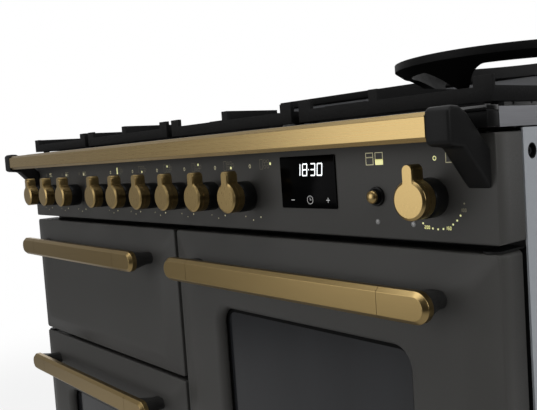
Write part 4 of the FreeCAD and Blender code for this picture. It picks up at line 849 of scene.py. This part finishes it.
def dial_dot_tree():
    """Nodes that set round dots on an arc and leave a gap wherever a number stands."""
    tree, given = tree_with_inputs("dial_dots", (
        ("Dial center", "Vector"), ("Dial radius", "Float"), ("Dot radius", "Float"),
        ("First angle", "Float"), ("Angle step", "Float"), ("Steps", "Int"), ("Numbers every", "Int"),
        ("Ink", "Material")))
    index = added(tree, "GeometryNodeInputIndex").outputs[0]
    turned_by = arithmetic(tree, "MULTIPLY", index, given["Angle step"])
    angle = arithmetic(tree, "ADD", given["First angle"], turned_by)
    reach = {axis: arithmetic(tree, "MULTIPLY", given["Dial radius"], arithmetic(tree, operation, angle))
             for axis, operation in (("X", "SINE"), ("Z", "COSINE"))}
    spot = added(tree, "ShaderNodeCombineXYZ", reach).outputs[0]
    both = {0: spot, 1: given["Dial center"]}
    shifted = added(tree, "ShaderNodeVectorMath", both, operation="ADD").outputs[0]
    points = added(tree, "GeometryNodePoints", {"Count": given["Steps"], "Position": shifted}).outputs[0]
    shape = {"Vertices": scale_dot_corners, "Radius": given["Dot radius"]}
    dot = added(tree, "GeometryNodeMeshCircle", shape, fill_type="NGON").outputs[0]
    turn = added(tree, "FunctionNodeEulerToRotation", {0: (math.pi / 2, 0, 0)}).outputs[0]
    place = arithmetic(tree, "MODULO", index, given["Numbers every"])
    number_here = arithmetic(tree, "COMPARE", place, number_place, match_width)
    free = arithmetic(tree, "SUBTRACT", 1, number_here)
    sockets = {"Points": points, "Instance": dot, "Rotation": turn, "Selection": free}
    return set_out(tree, given["Ink"], sockets)


def grown_by_nodes(name, tree, values, start=None):
    """A plain mesh object from a node tree, its inputs given by their labels."""
    made = linked(name, start or bpy.data.meshes.new(name))
    modifier = made.modifiers.new("made", "NODES")
    modifier.node_group = tree
    for item in tree.interface.items_tree:
        if item.in_out == "INPUT" and item.name in values:
            modifier[item.identifier] = values[item.name]
    return settled(made)


def face_forward(marks):
    """Turns every flat mark so that it faces out of the front of the cooker."""
    sheet = bmesh.new()
    sheet.from_mesh(marks.data)
    for face in sheet.faces:
        face.normal_update()
        if face.normal.y > 0:
            face.normal_flip()
    sheet.to_mesh(marks.data)
    sheet.free()
    return marks


def oven_scale(x, z, y):
    """The numbers of the temperature scale and its first, faint dot."""
    shells = []
    for text, step, ink in scale_numbers:
        spot = polar(x, z, number_radius, math.pi / 2 - step * scale_step)
        shells.extend(inked(number_marks(text, *spot, y), ink))
    spot = polar(x, z, scale_radius, math.pi / 2 - first_scale_dot * scale_step)
    return shells + inked([flat_disc(*spot, y, first_scale_dot_radius)], faint)


def panel_markings():
    x_range, z_range, front = panel_span()
    y, base = front - print_lift, z_range[0]
    axis_z = base + knob_rise
    boxes = [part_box("knob_%02d" % (index + 1)) for index in range(len(knob_bodies))]
    centers = [(low.x + high.x) / 2 for low, high in boxes]
    oven_x = centers.pop()
    shells = []
    for x, (radius, line, stretch, ink) in zip(centers + [oven_x], zero_marks):
        shells.extend(inked([flat_ring(x, base + zero_rise, y, radius, line, stretch)], ink))
    for x in centers:
        for side, size in level_dots:
            spot = polar(x, axis_z, scale_radius, side * level_dot_angle - math.pi / 2)
            shells.append(flat_disc(*spot, y, size))
    for lit, x in enumerate(centers[first_hob_knob:]):
        shells.extend(hob_plan(x, base + hob_plan_rise, y, lit))
    shift, rise = small_plan_place
    for x, filled in zip(centers, small_plan_doors):
        shells.extend(oven_plan(x + shift, base + rise, y, filled, small_plan_scale, gold))
    shift, rise = large_plan_place
    shells.extend(oven_plan(oven_x + shift, base + rise, y, "drawer"))
    shells.extend(flat_frame(*moved(empty_frame, oven_x, base), y, oven_plan_line))
    shells.extend(oven_scale(oven_x, axis_z, y))
    marks = piece("panel_markings", shells, [print_gold, print_painted_glow, print_faint])
    placed(face_forward(marks), "cooker")
    sizes = {"Dial center": (oven_x, y, axis_z), "Dial radius": scale_radius, "Angle step": scale_step,
             "Ink": print_painted_glow, **scale_dots}
    placed(face_forward(grown_by_nodes("oven_scale_dots", dial_dot_tree(), sizes)), "cooker")


panel_markings()


# Clock
# A black glass plate with a ground edge, set on the panel, with a housing behind it.
# Its white figures glow through the glass over three touch symbols.
clock_glass = finish(
    "black_clock_glass", (0.0004, 0.0004, 0.0005), (0.0007, 0.0007, 0.0008), 300,
    (0.12, 0.16), (0.01, 0.0001), Specular_IOR_Level=0.02)
clock_edge = 0.0006
clock_edge_share = 0.3
clock_corner = 0.0016
clock_plate = 0.0016
housing_inset = 0.006
housing_back = 0.001
figure_rise = 0.0381
figure_height = 0.0150
figure_line = 0.0015
figure_gap = 0.0003
figures = (("1", 0.0275, 0.0088), ("8", 0.0391, 0.0090), ("3", 0.0531, 0.0086), ("0", 0.0641, 0.0092))
figure_dot = (0.0512, 0.0455, 0.0008)
# The minus, the two hands of the clock, and the plus in three pieces.
symbol_bars = (
    ((0.0176, 0.0236), (0.0095, 0.0102)),
    ((0.05025, 0.05075), (0.0098, 0.0130)),
    ((0.05075, 0.0527), (0.0098, 0.0103)),
    ((0.0775, 0.0833), (0.0097, 0.0104)),
    ((0.08005, 0.08075), (0.0104, 0.0129)),
    ((0.08005, 0.08075), (0.0072, 0.0097)),
)
symbol_ring = (0.0505, 0.0101, 0.0050, 0.0005)
symbol_ring_steps = 32


def glowing(name, colour, strength):
    return finish(name, colour, colour, 800, (0.3, 0.4), (0.01, 0.0001),
                  Emission_Color=colour + (1,), Emission_Strength=strength)


def clock():
    low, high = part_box("clock_unit")
    ranges = (low.x, high.x), (low.z, high.z)
    soft = clock_edge * clock_edge_share
    plate = ((0, clock_plate), (0, clock_edge), (soft, soft), (clock_edge, 0))
    back = high.y - low.y
    housing = [(housing_inset, depth) for depth in (clock_plate, back - housing_back, back)]
    shells = []
    for rows in (plate, housing):
        rings = [inset_points(*ranges, inset, low.y + depth, clock_corner) for inset, depth in rows]
        shells.append(skin(rings, True, True))
    made = piece("clock_glass", shells, [clock_glass], fine_smooth_limit)
    placed(made, "cooker", "clock_unit")
    y = low.y - print_lift
    shells = []
    for digit, x, width in figures:
        shells.extend(segment_digit(
            digit, low.x + x, low.z + figure_rise, y, width, figure_height, figure_line, gap=figure_gap))
    x, z, radius = figure_dot
    shells.append(flat_disc(low.x + x, low.z + z, y, radius))
    digits = piece("clock_figures", shells, [glowing("glowing_figures", (0.85, 0.88, 0.90), 0.9)])
    placed(face_forward(digits), "cooker")
    shells = [flat_bar(*moved(ranges, low.x, low.z), y) for ranges in symbol_bars]
    x, z, radius, line = symbol_ring
    shells.append(flat_ring(low.x + x, low.z + z, y, radius, line, steps=symbol_ring_steps))
    touch = piece("touch_symbols", shells, [glowing("glowing_symbols", grey(0.5), 0.35)])
    placed(face_forward(touch), "cooker")


clock()


# Push button and lamp lenses
# The button is a black plunger with a domed brass cap, in a black collar on the panel.
# Two small smoked lenses below it cover the oven lamps of the panel.
lens_grey = finish(
    "smoked_lens", grey(0.2), grey(0.26), 900, (0.25, 0.35), (0.02, 0.0001),
    Specular_IOR_Level=0.6, Coat_Weight=0.4)
pole_radius = 0.0002
dome_radius = 0.0072
dome_height = 0.0042
dome_steps = 8
neck_depth = 0.0052
button_radius = 0.0076
button_edge = 0.0004
bezel_hole = 0.0079
bezel_radius = 0.0103
bezel_depth = 0.0145
bezel_soft = 0.0008
bezel_step = 0.0020
lens_places = ((0.9470, 0.0176), (0.9943, 0.0166))
# The lens from its middle outwards: radius and depth behind the panel's face.
lens_profile = (
    (pole_radius, -0.0012), (0.0012, -0.00115), (0.0022, -0.0009), (0.0028, -0.0004), (0.0030, 0),
    (0.0030, 0.004),
)
lens_smooth_limit = 60.0


def push_button():
    low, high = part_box("push_button")
    x, z = (low.x + high.x) / 2, (low.z + high.z) / 2
    dome = [(pole_radius, 0)]
    for step in range(1, dome_steps + 1):
        angle = math.pi / 2 * step / dome_steps
        dome.append((dome_radius * math.sin(angle), dome_height * (1 - math.cos(angle))))
    dome.append((dome_radius, neck_depth))
    edge = button_edge
    plunger = (
        (dome_radius - edge, neck_depth), (button_radius - edge / 2, neck_depth + edge / 4),
        (button_radius, neck_depth + edge * 1.25), (button_radius, high.y - low.y),
    )
    for name, profile, material, slot in (
            ("button_dome", dome, knob_brass, "brass"),
            ("button_plunger", plunger, skirt_black, "black_plastic")):
        made = piece(name, [turned(x, z, low.y, profile)], [material], turned_smooth_limit)
        placed(made, "clock_button", "push_button")


def collar_and_lenses():
    low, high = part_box("push_button")
    edge = button_edge
    ring = (
        (bezel_hole, bezel_depth), (bezel_hole, edge), (bezel_hole + edge, 0),
        (bezel_radius - bezel_soft, 0), (bezel_radius, bezel_soft), (bezel_radius, bezel_step),
        (bezel_radius, bezel_depth), (bezel_hole, bezel_depth),
    )
    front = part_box("panel_fittings")[0].y
    shell = turned((low.x + high.x) / 2, (low.z + high.z) / 2, front, ring, closed=False)
    collar = piece("button_collar", [shell], [skirt_black], turned_smooth_limit)
    placed(collar, "cooker", "panel_fittings")
    x_range, z_range, face = panel_span()
    shells = [turned(x_range[0] + x, z_range[0] + z, face, lens_profile) for x, z in lens_places]
    placed(piece("lamp_lenses", shells, [lens_grey], lens_smooth_limit), "cooker", "panel_fittings")


push_button()
collar_and_lenses()


# Handrail
# A flat brass bar with chamfered edges runs across the front of the hob for towels and hands.
# Two cast black brackets hold its ends and are bolted down the front of the control panel.
rail_brass = finish(
    "brushed_brass_rail", (0.360, 0.258, 0.112), (0.385, 0.277, 0.122), 1500, (0.26, 0.30), (0.008, 0.0001),
    stretch=(0.004, 1, 1), Metallic=1.0)
bracket_black = finish(
    "satin_black_casting", grey(0.0055), grey(0.0085), 1500, (0.45, 0.55), (0.08, 0.0003),
    Specular_IOR_Level=0.12)
bracket_edge = 0.0048
bevel_limit = 30.0
bevel_profile = 0.5
rail_chamfer = 0.004
rail_soft = 0.0004
flat_limit = 1.0
form_smooth_limit = 40.0


def handrail():
    low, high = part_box("handrail_bar")
    c, s = rail_chamfer, rail_soft
    outline = (
        (low.y, low.z + c + s), (low.y, high.z - c - s), (low.y + s * 0.4, high.z - c + s * 0.3),
        (low.y + c - s * 0.3, high.z - s * 0.4), (low.y + c + s, high.z), (high.y - s, high.z),
        (high.y, high.z - s), (high.y, low.z + s), (high.y - s, low.z), (low.y + c + s, low.z),
        (low.y + c - s * 0.3, low.z + s * 0.4), (low.y + s * 0.4, low.z + c - s * 0.3),
    )
    rings = [[(x, y, z) for y, z in outline] for x in (low.x, high.x)]
    bar = piece("handrail", [skin(rings, True, True)], [rail_brass], bar_smooth_limit)
    placed(bar, "cooker", "handrail_bar")


def surfaced(mesh, material):
    """Gives a whole mesh one finish."""
    mesh.materials.clear()
    mesh.materials.append(material)
    for polygon in mesh.polygons:
        polygon.material_index = 0


def flattened(form):
    """Joins the flat faces of a form again."""
    bmesh.ops.dissolve_limit(form, angle_limit=math.radians(flat_limit), verts=form.verts, edges=form.edges)


def changed_copy(name, node, material, change):
    """A copy of the node's own form, merged, changed and in its real finish."""
    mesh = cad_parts[node].data.copy()
    form = bmesh.new()
    form.from_mesh(mesh)
    bmesh.ops.remove_doubles(form, verts=form.verts, dist=weld_distance)
    change(form)
    form.to_mesh(mesh)
    form.free()
    surfaced(mesh, material)
    shaded(mesh, form_smooth_limit)
    return linked(name, mesh)


def softened(name, node, body, material, width, steps=2, limit=bevel_limit):
    """The node's own form with its sharp edges rounded."""
    def rounded(form):
        flattened(form)
        sharp = [edge for edge in form.edges
                 if len(edge.link_faces) == 2 and edge.calc_face_angle() > math.radians(limit)]
        bmesh.ops.bevel(form, geom=sharp, offset=width, offset_type="OFFSET", segments=steps,
                        profile=bevel_profile, affect="EDGES", clamp_overlap=True)

    made = changed_copy(name, node, material, rounded)
    placed(made, body, node)
    return made


handrail()
softened("handrail_end_brackets", "handrail_brackets", "cooker", bracket_black,
         bracket_edge, steps=4)


# Pan supports and wok ring
# Four cast iron frames stand on the hob on small feet, their fingers running in over the burners.
# The ring for a round-bottomed wok stands on the right-hand frame, and all are matt enamelled.
cast_enamel = finish(
    "matt_cast_iron", (0.0032, 0.0032, 0.0033), (0.0055, 0.0055, 0.0057), 420, (0.60, 0.75), (0.35, 0.0006),
    Specular_IOR_Level=0.15)
wok_enamel = finish(
    "smooth_black_enamel", (0.0015, 0.0015, 0.0016), (0.0028, 0.0028, 0.0029), 420,
    (0.50, 0.62), (0.20, 0.0005), Specular_IOR_Level=0.10)
casting_edge = 0.0012
wok_ring_edge = 0.0022
wok_ring_limit = 24.0
for number, side in enumerate(("left", "middle_left", "middle_right", "right"), 1):
    softened("cast_frame_%d" % number, "pan_support_%d" % number, "pan_support_" + side,
             cast_enamel, casting_edge)
softened("wok_ring_casting", "wok_cradle", "wok_ring", wok_enamel,
         wok_ring_edge, steps=3, limit=wok_ring_limit)


# Hob, its edges and the upstand
# The tray and the side trims are brushed stainless steel, with a polished strip along the front edge
# over a black rail. The steel upstand at the back carries a dark vented cap.
rail_black = finish(
    "satin_black_rail", grey(0.003), grey(0.005), 1200, (0.38, 0.48), (0.06, 0.0002),
    Specular_IOR_Level=0.08)
trim_grey = finish(
    "satin_steel_trim", (0.15, 0.152, 0.162), (0.18, 0.182, 0.193), 800, (0.34, 0.42), (0.04, 0.0002),
    stretch=(1, 0.02, 1), Specular_IOR_Level=0.35)
strip_black = finish(
    "polished_black_strip", grey(0.004), grey(0.006), 900, (0.10, 0.16), (0.02, 0.0002),
    Specular_IOR_Level=0.5)
# The upstand is steel; its flat grey stands in for the dim reflection of the steel, a painted reflection.
upstand_painted_reflection = finish(
    "upstand_grey_painted_reflection", (0.055, 0.056, 0.060), (0.068, 0.069, 0.073), 800, (0.38, 0.46), (0.04, 0.0002),
    stretch=(0.02, 1, 1), Specular_IOR_Level=0.3)
upstand_cap_height = 0.0175
strip_end = 0.0005
trim_edge = 0.0008
folded_edge = 0.0010


def second_finish(made, material, belongs):
    """Gives the faces that belong to the second part of a piece their own finish."""
    made.data.materials.append(material)
    for polygon in made.data.polygons:
        if belongs(polygon.center):
            polygon.material_index = 1


rail_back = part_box("hob_front_rail")[1].y
cap_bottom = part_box("rear_upstand")[1].z - upstand_cap_height
hob_edges = softened("hob_side_trims", "hob_trims", "cooker", trim_grey, trim_edge)
second_finish(hob_edges, strip_black, lambda center: center.y < rail_back + strip_end)
softened("hob_edge_rail", "hob_front_rail", "cooker", rail_black, folded_edge)
hob_upstand = softened("hob_upstand", "rear_upstand", "cooker", upstand_painted_reflection, trim_edge)
second_finish(hob_upstand, rail_black, lambda center: center.z > cap_bottom)


# Burners and hot zone
# Each burner has an aluminium head with flame slots and a loose enamelled cap.
# The plate at the left is black glass ceramic over a radiant element.
cast_aluminium = finish(
    "dark_cast_aluminium", grey(0.05), grey(0.08), 900, (0.45, 0.60), (0.25, 0.0003), Metallic=0.8)
ceramic_plate = finish(
    "black_glass_ceramic", (0.004, 0.004, 0.005), (0.007, 0.007, 0.008), 400, (0.06, 0.10), (0.01, 0.0001),
    Specular_IOR_Level=0.5)
head_edge = 0.0005
cap_edge = 0.0008
plate_edge = 0.0010
softened("burner_heads_cast", "burner_heads", "cooker", cast_aluminium, head_edge)
softened("burner_caps_enamel", "burner_caps", "cooker", cast_enamel, cap_edge)
softened("hot_zone_plate", "hot_zone_glass", "cooker", ceramic_plate, plate_edge)


# Casing and plinth
# Zinc-coated side sheets sprayed silver grey, held by black screws, with a black folded plinth
# on four levelling feet and a plain back sheet.
side_grey = finish(
    "silver_grey_casing", (0.27, 0.285, 0.305), (0.31, 0.325, 0.345), 700, (0.38, 0.48), (0.06, 0.0002),
    Specular_IOR_Level=0.5)
zinc_sheet = finish(
    "zinc_coated_sheet", (0.30, 0.31, 0.32), (0.44, 0.45, 0.46), 60,
    (0.35, 0.55), (0.05, 0.0003), Metallic=0.8)
plated_feet = finish(
    "plated_steel_feet", (0.35, 0.35, 0.34), (0.45, 0.45, 0.44), 500,
    (0.30, 0.42), (0.08, 0.0002), Metallic=1.0)
frame_black = finish(
    "black_front_frame", grey(0.003), grey(0.005), 900, (0.45, 0.6), (0.08, 0.0002),
    Specular_IOR_Level=0.2)
# The hob tray is stainless steel; its gloss black paints the dark reflection of the cast iron frames over
# it.
hob_tray_dark_reflection = finish(
    "hob_tray_painted_dark_reflection", grey(0.004), grey(0.006), 600, (0.30, 0.40), (0.03, 0.0002),
    Specular_IOR_Level=0.3)
dark_screw = finish(
    "black_plated_screw", (0.030, 0.030, 0.032), (0.045, 0.045, 0.048), 900, (0.25, 0.35), (0.03, 0.0001),
    Metallic=0.8)
least_sheet_height = 0.05
screw_setback = 0.061
screw_drop = 0.0196
screw_head_lift = 0.0006
screw_head = {"Head radius": 0.0046, "Head height": 0.0016, "Recess width": 0.0012, "Recess depth": 0.0040}
screw_turn = 0.4
screw_steps = 28
crown_rings = 12
crown_scale = (0.97, 0.97, 0.45)
cup_radius = 0.0077
cup_depth = 0.0062
cup_wall = 0.0008
cup_lip = 0.0002
cup_steps = 40


def screw_tree():
    """Nodes that make a round screw head with a cross recess and set it on each spot."""
    tree, given = tree_with_inputs("cross_screws", (
        ("Spots", "Geometry"), ("Turn", "Vector"), ("Head radius", "Float"), ("Head height", "Float"),
        ("Recess width", "Float"), ("Recess depth", "Float"), ("Metal", "Material")))
    radius, height = given["Head radius"], given["Head height"]
    sizes = {"Vertices": screw_steps, "Radius": radius, "Depth": height}
    disc = added(tree, "GeometryNodeMeshCylinder", sizes)
    sizes = {"Segments": screw_steps, "Rings": crown_rings, "Radius": radius}
    ball = added(tree, "GeometryNodeMeshUVSphere", sizes)
    crown = added(tree, "GeometryNodeTransform", {"Geometry": ball.outputs["Mesh"], "Scale": crown_scale})
    head = added(tree, "GeometryNodeMeshBoolean", operation="UNION")
    tree.links.new(disc.outputs["Mesh"], head.inputs["Mesh 2"])
    tree.links.new(crown.outputs[0], head.inputs["Mesh 2"])
    cut = added(tree, "GeometryNodeMeshBoolean", {"Mesh 1": head.outputs["Mesh"]}, operation="DIFFERENCE")
    lift = added(tree, "ShaderNodeCombineXYZ", {"Z": height}).outputs[0]
    for along, across in (("Head radius", "Recess width"), ("Recess width", "Head radius")):
        sides = {"X": given[along], "Y": given[across], "Z": given["Recess depth"]}
        size = added(tree, "ShaderNodeCombineXYZ", sides).outputs[0]
        arm = added(tree, "GeometryNodeMeshCube", {"Size": size}).outputs["Mesh"]
        raised = added(tree, "GeometryNodeTransform", {"Geometry": arm, "Translation": lift}).outputs[0]
        tree.links.new(raised, cut.inputs["Mesh 2"])
    turn = added(tree, "FunctionNodeEulerToRotation", {0: given["Turn"]}).outputs[0]
    sockets = {"Points": given["Spots"], "Instance": cut.outputs["Mesh"], "Rotation": turn}
    return set_out(tree, given["Metal"], sockets)


def without_screws(form):
    """Leaves only the two tall sheets of the casing."""
    left = set(form.verts)
    doomed = []
    while left:
        group = [left.pop()]
        for vertex in group:
            for edge in vertex.link_edges:
                other = edge.other_vert(vertex)
                if other in left:
                    left.remove(other)
                    group.append(other)
        heights = [vertex.co.z for vertex in group]
        if max(heights) - min(heights) < least_sheet_height:
            doomed.extend(group)
    bmesh.ops.delete(form, geom=doomed, context="VERTS")
    flattened(form)


def screw_cups_and_screws():
    low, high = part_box("side_panels")
    y, z = panel_span()[2] + screw_setback, panel_span()[1][1] - screw_drop
    hole = cup_radius - cup_wall
    profile = (
        (pole_radius, cup_depth), (hole, cup_depth), (hole, cup_lip * 2), (cup_radius, cup_lip),
        (cup_radius, cup_depth + cup_wall), (pole_radius, cup_depth + cup_wall),
    )
    tree = screw_tree()
    cups = []
    for name, side, outer_x in (("left", -1, low.x), ("right", 1, high.x)):
        rings = []
        for radius, depth in profile:
            rounded = circle(y, z, 0, radius, cup_steps)
            rings.append([(outer_x - side * depth, along, up) for along, _, up in rounded])
        cups.append(skin(rings, True, True))
        spot = bpy.data.meshes.new("screw_spot")
        spot.from_pydata([(outer_x - side * (cup_depth - screw_head_lift), y, z)], [], [])
        sizes = {"Turn": (screw_turn, side * math.pi / 2, 0), "Metal": dark_screw, **screw_head}
        screw = grown_by_nodes("side_screw_" + name, tree, sizes, spot)
        shaded(screw.data, fine_smooth_limit)
        placed(screw, "cooker")
    placed(piece("side_screw_cups", cups, [frame_black], turned_smooth_limit), "cooker")


def clad(material, *nodes):
    """Gives carried-over nodes their real finish."""
    for node in nodes:
        surfaced(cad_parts[node].data, material)


casing_sides = changed_copy("casing_sides", "side_panels", side_grey, without_screws)
placed(casing_sides, "cooker", "side_panels")
screw_cups_and_screws()
softened("plinth_board", "plinth", "cooker", rail_black, folded_edge)
clad(zinc_sheet, "back_panel", "chassis")
clad(plated_feet, "levelling_feet")
clad(frame_black, "front_frame", "hinge_brackets")
# The hob tray takes its painted dark reflection.
clad(hob_tray_dark_reflection, "hob_top")


# Inside the ovens, grill and drawer
# Cavities in speckled vitreous enamel, chrome racks, steel elements, a fan with its baffle,
# a grill pan, rubber door seals, mineral wool round the boxes and zinc-coated drawer parts.
oven_enamel = finish(
    "speckled_oven_enamel", (0.010, 0.010, 0.012), (0.030, 0.030, 0.033), 1400, (0.18, 0.30), (0.06, 0.0002),
    Specular_IOR_Level=0.6)
chrome_wire = finish(
    "bright_chrome_wire", (0.62, 0.62, 0.63), (0.70, 0.70, 0.71), 600,
    (0.08, 0.16), (0.03, 0.0001), Metallic=1.0)
element_steel = finish(
    "heat_tinted_steel", (0.10, 0.085, 0.075), (0.18, 0.16, 0.15), 200,
    (0.35, 0.50), (0.08, 0.0002), Metallic=1.0)
seal_rubber = finish(
    "door_seal_rubber", grey(0.012), grey(0.02), 900, (0.65, 0.8), (0.15, 0.0003))
mineral_wool = finish(
    "mineral_wool", (0.42, 0.38, 0.26), (0.62, 0.57, 0.42), 260, (0.9, 1.0), (0.8, 0.002))
pipe_aluminium = finish(
    "bent_aluminium_pipe", grey(0.45), grey(0.55), 300, (0.30, 0.45), (0.05, 0.0002), Metallic=1.0)
clad(oven_enamel, "grill_cavity", "left_oven_cavity", "right_oven_cavity", "grill_pan")
clad(oven_enamel, "grill_door_liner", "left_door_liner", "right_door_liner")
clad(chrome_wire, "oven_racks")
clad(element_steel, "heating_elements")
clad(plated_feet, "oven_fan")
clad(seal_rubber, "door_seals")
clad(mineral_wool, "oven_insulation")
clad(pipe_aluminium, "gas_rail")
clad(zinc_sheet, "drawer_tub", "drawer_runners")


# Window glass
# Two tinted panes in each oven door, the outer one under a narrow black border that is partly a printed frit
# and partly painted shade of the deep window recess.
window_glass = finish(
    "tinted_window_glass", (0.005, 0.0054, 0.0066), (0.012, 0.0128, 0.0150), 14,
    (0.08, 0.12), (0.004, 0.0001), stretch=(1, 1, 0.02), Specular_IOR_Level=0.42)
# The border's black is partly print and partly painted shade, deepening the dark of the window recess.
frit_and_recess_shade = finish(
    "black_frit_and_painted_recess_shade", grey(0.0012), grey(0.002), 900, (0.3, 0.4), (0.02, 0.0001),
    Specular_IOR_Level=0.05)
border_width = 0.006
border_hidden = 0.004
border_lift = 0.0002


def frit_and_shade_border(side):
    """The black border, as a thin film on the front of the outer pane round the window: part print, part
    painted shade of the recess.
    """
    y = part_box(side + "_door_glass")[0].y - border_lift
    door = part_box(side + "_door_panel")
    outlines = [window_outline(*door, grow, y) for grow in (border_hidden, -border_width)]
    made = piece(side + "_window_border", [skin(outlines)], [frit_and_recess_shade])
    placed(face_forward(made), side + "_oven_door")


for side in ("left", "right"):
    clad(window_glass, side + "_door_glass")
    frit_and_shade_border(side)


bpy.context.view_layer.update()
